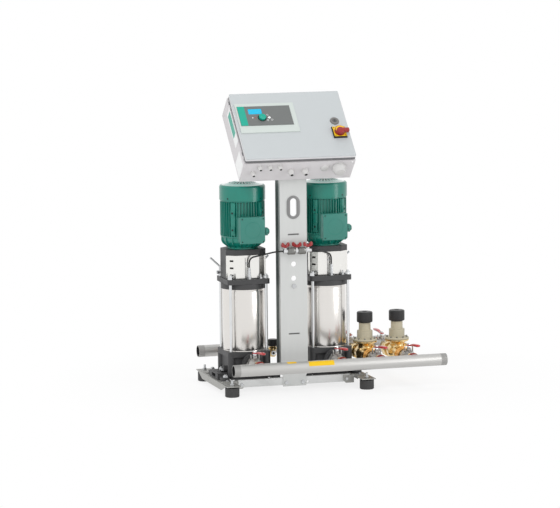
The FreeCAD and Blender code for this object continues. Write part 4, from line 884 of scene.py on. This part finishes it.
for label, x, turn in zip(("left", "middle", "right"), WING_X, (25, -40, 8)):
    wings = Shape()
    at = shift(MID_X + x, TEE_Y, 505.4) @ Matrix.Rotation(math.radians(turn), 4, "Z")
    wings.lathe([(0, -7), (3, -7), (3, 0), (4.4, 0), (5, 1), (4.8, 7), (3, 9.4), (0, 10)], 0, at,
                28)
    for lean in (-1, 1):
        blade = [(0, 1), (lean * 8, 1.6), (lean * 14, 3), (lean * 17.4, 6), (lean * 18.2, 11),
                 (lean * 17, 16.4), (lean * 13.4, 19), (lean * 10, 17.6), (lean * 5, 11), (0, 7.5)]
        wings.prism(blade, -2.3, 2.3, 0, at @ UPRIGHT, 0.9)
    piece("wing_looks_" + label, wings, [red_dark], "wing_handle_" + label, "red",
          "wing_handle_" + label)

# Cabinet: glands under it, labels without text, the panel, the lock and the switch
CABINET = shift(*DOOR_FOOT) @ Matrix.Rotation(DOOR_TILT, 4, "X")
UNDER = CABINET @ UPRIGHT
glands = Shape()
for x, d, r, long in ((-161.0, 68.0, 7.0, 18.0), (-142.0, 38.0, 7.0, 18.0),
                      (-106.0, 38.0, 7.0, 18.0), (-70.0, 38.0, 7.0, 18.0), (-26.0, 65.0, 9.0, 22.0),
                      (25.0, 65.0, 9.0, 22.0), (95.0, 57.0, 12.0, 6.0), (145.0, 53.0, 20.0, 30.0)):
    out = UNDER @ shift(x, -d, 0)
    inner = -9
    if long < 10:
        glands.lathe([(0, inner), (r, inner), (r, 0), (r * 1.25, 0), (r * 1.25, 3), (r, 5),
                      (0, 5.4)], 0, out, 32)
        glands.block((-r * 0.6, -1.2, 4.6), (r * 0.6, 1.2, 5.9), 0, out)
        continue
    glands.lathe([(0, inner), (r, inner), (r, 0), (r * 1.2, 0), (r * 1.27, 0.8), (r * 1.27, 3.6),
                  (r * 1.2, 4.4), (0, 4.4)], 0, out, 6)
    glands.lathe([(0, 4), (r * 0.92, 4), (r * 0.92, 6), (0, 6)], 0, out, 32)
    glands.lathe([(0, 5.6), (r * 1.16, 5.6), (r * 1.22, 6.4), (r * 1.22, long * 0.5),
                  (r * 1.1, long * 0.62), (r * 1.02, long * 0.8), (r * 0.78, long - 0.6),
                  (r * 0.55, long), (0, long - 0.6)], 0, out, 32)
    if r < 19:
        glands.lathe([(0, long - 2), (r * 0.6, long - 2), (r * 0.58, long + 0.1), (0, long + 0.15)],
                     1, out, 24)
piece("gland_looks", glands, [light_plastic, dark], "frame", "pale_plastic", "cable_glands")

labels = Shape()
labels.block((-200.35, 108, -66), (-199.9, 258, -22), 0, CABINET)
labels.block((-200.5, 146, -60), (-200.3, 246, -29), 1, CABINET)
labels.block((-200.35, 8, -110), (-199.9, 74, -40), 0, CABINET)
labels.rod(3.2, (190, -1.6, -31), (190, 0, -31), 0, 0.4, CABINET)
piece("cabinet_labels", labels, [white_paint, panel_teal], "frame", "cabinet_paint")

KNOB = CABINET @ shift(-102.6, 183, 0)
panel = Shape()
panel.block((-183.9, 149.6, 3.9), (-158.5, 235.9, 4.25), 0, CABINET)
panel.block((-147.3, 200.2, 2.8), (-98.7, 223.8, 3.6), 1, CABINET)
panel.lathe([(4.1, 3.8), (15.6, 3.8), (15.6, 4.3), (14.4, 4.5), (4.1, 4.5)], 2, KNOB, 40)
for x, look in ((-136.5, 3), (-126, 4)):
    panel.lathe([(0, 3.8), (2.2, 3.8), (2.2, 4.4), (0, 4.8)], look, CABINET @ shift(x, 184, 0), 20)
panel.block((-4.2, -4.2, 3.8), (4.2, 4.2, 4.7), 3,
            CABINET @ shift(-77, 183, 0) @ Matrix.Rotation(TURN / 8, 4, "Z"))
for x, y in ((-84, 172), (-69, 173), (-81, 195)):
    panel.lathe([(2.6, 3.9), (3.5, 3.9), (3.5, 4.2), (2.6, 4.2)], 3, CABINET @ shift(x, y, 0), 24)
piece("panel_details", panel, [panel_teal, screen_blue, dark, white_paint, red], "door",
      "panel_grey")

knob = Shape()
knob.lathe([(0, -8), (4, -8), (4, 4.4), (12.8, 4.4), (13, 5), (12.6, 11.2), (11.6, 12.4),
            (9.6, 12.8), (8.4, 12.2), (0, 12.0)], 0, KNOB, 48)
tooth = Shape()
tooth.block((12.3, -0.45, 5.4), (13.0, 0.45, 11.0))
knob.absorb(ring_of(tooth, 36, panel_teal), 0, KNOB)
piece("panel_knob", knob, [panel_teal], "hmi_knob", "teal_plastic", "hmi_knob")

lock = Shape()
lock.lathe([(8.05, -11.8), (10, -11.8), (10, 0), (15.9, 0), (16, 1), (15.2, 3.2), (13.4, 4),
            (11, 3.8), (9.4, 3.0), (8.05, 3.0)], 0, CABINET @ shift(155, 160, 0), 48)
piece("lock_looks", lock, [grey_plastic], "door", "grey_plastic", "lock_housing")

plate = Shape()
plate.block((135.6, 82.6, 0), (184.4, 131.4, 5.0), 1, CABINET, 0.6)
plate.block((139, 87.5, 4.5), (183.4, 131, 5.8), 0, CABINET, 0.25)
for x, y in ((143, 91), (179.6, 91), (143, 127), (179.6, 127)):
    plate.lathe([(0, 5.4), (1.9, 5.4), (1.9, 5.95), (0, 6.1)], 1, CABINET @ shift(x, y, 0), 16)
piece("switch_plate_looks", plate, [yellow, dark], "door", "yellow_plastic", "switch_plate")
grip = Shape()
at = CABINET @ shift(160, 107, 0)
grip.lathe([(0, -17), (4, -17), (4, 6), (18, 6), (18.6, 6.6), (18.6, 18.2), (17.4, 19.2),
            (0, 19.2)], 0, at, 48)
grip.lathe([(0, 18.8), (16, 18.8), (16.4, 19.4), (16, 20), (0, 20.2)], 1, at, 48)
grip.lathe([(0, 15), (13, 15), (14, 16), (13.6, 23), (12, 25.2), (9, 26), (0, 26.2)], 0,
           at @ shift(-1, -6, 0), 40)
grip.block((-8, -12, 12), (31, 3, 26), 0, at, 3.2, 3)
piece("switch_grip", grip, [red_dark, yellow], "switch_handle", "red", "switch_handle")

# Blank stickers on the front pipe
stickers = Shape()
along_x = Matrix(((0, 0, 1, 0), (-1, 0, 0, 0), (0, 1, 0, 0), (0, 0, 0, 1)))
for x0, x1, low, high in ((-188.0, -156.0, 56, 112), (-113.0, -21.0, 16, 72)):
    angles = [math.radians(low + (high - low) * k / 8) for k in range(9)]
    band = [(21.55 * math.cos(a), 21.55 * math.sin(a)) for a in angles]
    band += [(21.1 * math.cos(a), 21.1 * math.sin(a)) for a in reversed(angles)]
    stickers.prism(band, x0, x1, 0, shift(0, -PIPE_Y, PIPE_Z) @ along_x)
piece("pipe_stickers", stickers, [yellow], "frame", "yellow_plastic")


# Column: the pressed rim of the hand hole, and grey blocks of painted shade just behind the narrow
# slots
def stadium(half, tall, z, steps=12):
    """A slot's outline of half a width and a full height."""
    straight = tall / 2 - half
    ring = []
    for k in range(2 * steps + 2):
        a = TURN / 2 * (k if k <= steps else k - 1) / steps
        ring.append((half * math.cos(a), math.copysign(straight, steps + 0.5 - k)
                     + half * math.sin(a), z))
    return ring


rim = Shape()
pressed = ((11.2, 62.4, -1), (11.2, 62.4, 1.5), (13, 66, 2.9), (17, 74, 3.2), (21.5, 78.6, 2.8),
           (24.8, 82, 1.9), (25.4, 82.8, -1))
rim.skin([stadium(*ring) for ring in pressed], 0, shift(MID_X, COLUMN_FRONT, 643) @ UPRIGHT, True)
for z in (548.0, 199.0):
    # Grey blocks close behind the narrow slots are painted shade, so the slots look dark and
    # shallow
    rim.block((MID_X - 19.6, -116.6, z - 2.3), (MID_X + 19.6, -115.4, z + 2.3), 1)
piece("hand_hole_rim", rim, [rim_steel, slot_dark], "frame", "zinc")


# Floor, and soft studio light
FLOOR_REACH = 14.0
FLOOR_Z = -0.0005


def backdrop(tree, kind, plain, strength, fade=0.0):
    """Light of its own for the room, and white for the camera, metal and glass.

    With a fade, the middle keeps some of the object's soft shadow."""
    for node in list(tree.nodes):
        tree.nodes.remove(node)
    studio = Nodes(tree)
    path = studio.add("LightPath").outputs
    sight = Sock(studio, path["Is Camera Ray"]) + Sock(studio, path["Is Glossy Ray"])
    sight = (sight + Sock(studio, path["Is Transmission Ray"])).clamped()
    room = studio.add(plain, inputs={0: (strength, strength, strength, 1)})
    glow = studio.add("Background" if kind == "World" else "Emission",
                      inputs={0: (1, 1, 1, 1), 1: 1.0})
    if fade:
        split = studio.add("SeparateXYZ",
                           inputs={0: studio.add("TexCoord").outputs["Object"]}).outputs
        x, y = Sock(studio, split[0]), Sock(studio, split[1])
        sight = sight * ((x * x + y * y) * fade + (1 - fade)).clamped()
    blend = studio.add("MixShader", inputs={0: sight, 1: room.outputs[0], 2: glow.outputs[0]})
    studio.add("Output" + kind, inputs={0: blend.outputs[0]})


floor_look = bpy.data.materials.new("floor")
floor_look.use_nodes = True
backdrop(floor_look.node_tree, "Material", "BsdfDiffuse", 0.92, 0.2)
floor_mesh = bpy.data.meshes.new("floor")
floor_mesh.from_pydata([(x * FLOOR_REACH, y * FLOOR_REACH, FLOOR_Z)
                        for x, y in ((-1, -1), (1, -1), (1, 1), (-1, 1))], [], [(0, 1, 2, 3)])
floor_mesh.materials.append(floor_look)
floor = bpy.data.objects.new("floor", floor_mesh)
scene.collection.objects.link(floor)
scene.world = bpy.data.worlds.new("studio")
scene.world.use_nodes = True
backdrop(scene.world.node_tree, "World", "Background", 0.55)


def area_light(name, at, target, size, power, mirrored=True):
    """A soft lamp, kept out of reflections unless it is mirrored."""
    data = bpy.data.lights.new(name, "AREA")
    data.shape = "RECTANGLE"
    data.size = size[0]
    data.size_y = size[1]
    data.energy = power
    lamp = bpy.data.objects.new(name, data)
    scene.collection.objects.link(lamp)
    lamp.visible_glossy = mirrored
    lamp.location = at
    lamp.rotation_euler = (Vector(target) - Vector(at)).to_track_quat("-Z", "Y").to_euler()


area_light("key", (-2.6, -3.4, 3.0), (0, 0, 0.5), (2.2, 2.2), 95, False)
area_light("fill", (3.3, -3.1, 1.7), (0, 0, 0.9), (1.4, 3.3), 45)
area_light("top", (0.2, 0.9, 3.6), (0, 0, 0.6), (2.6, 2.6), 35, False)
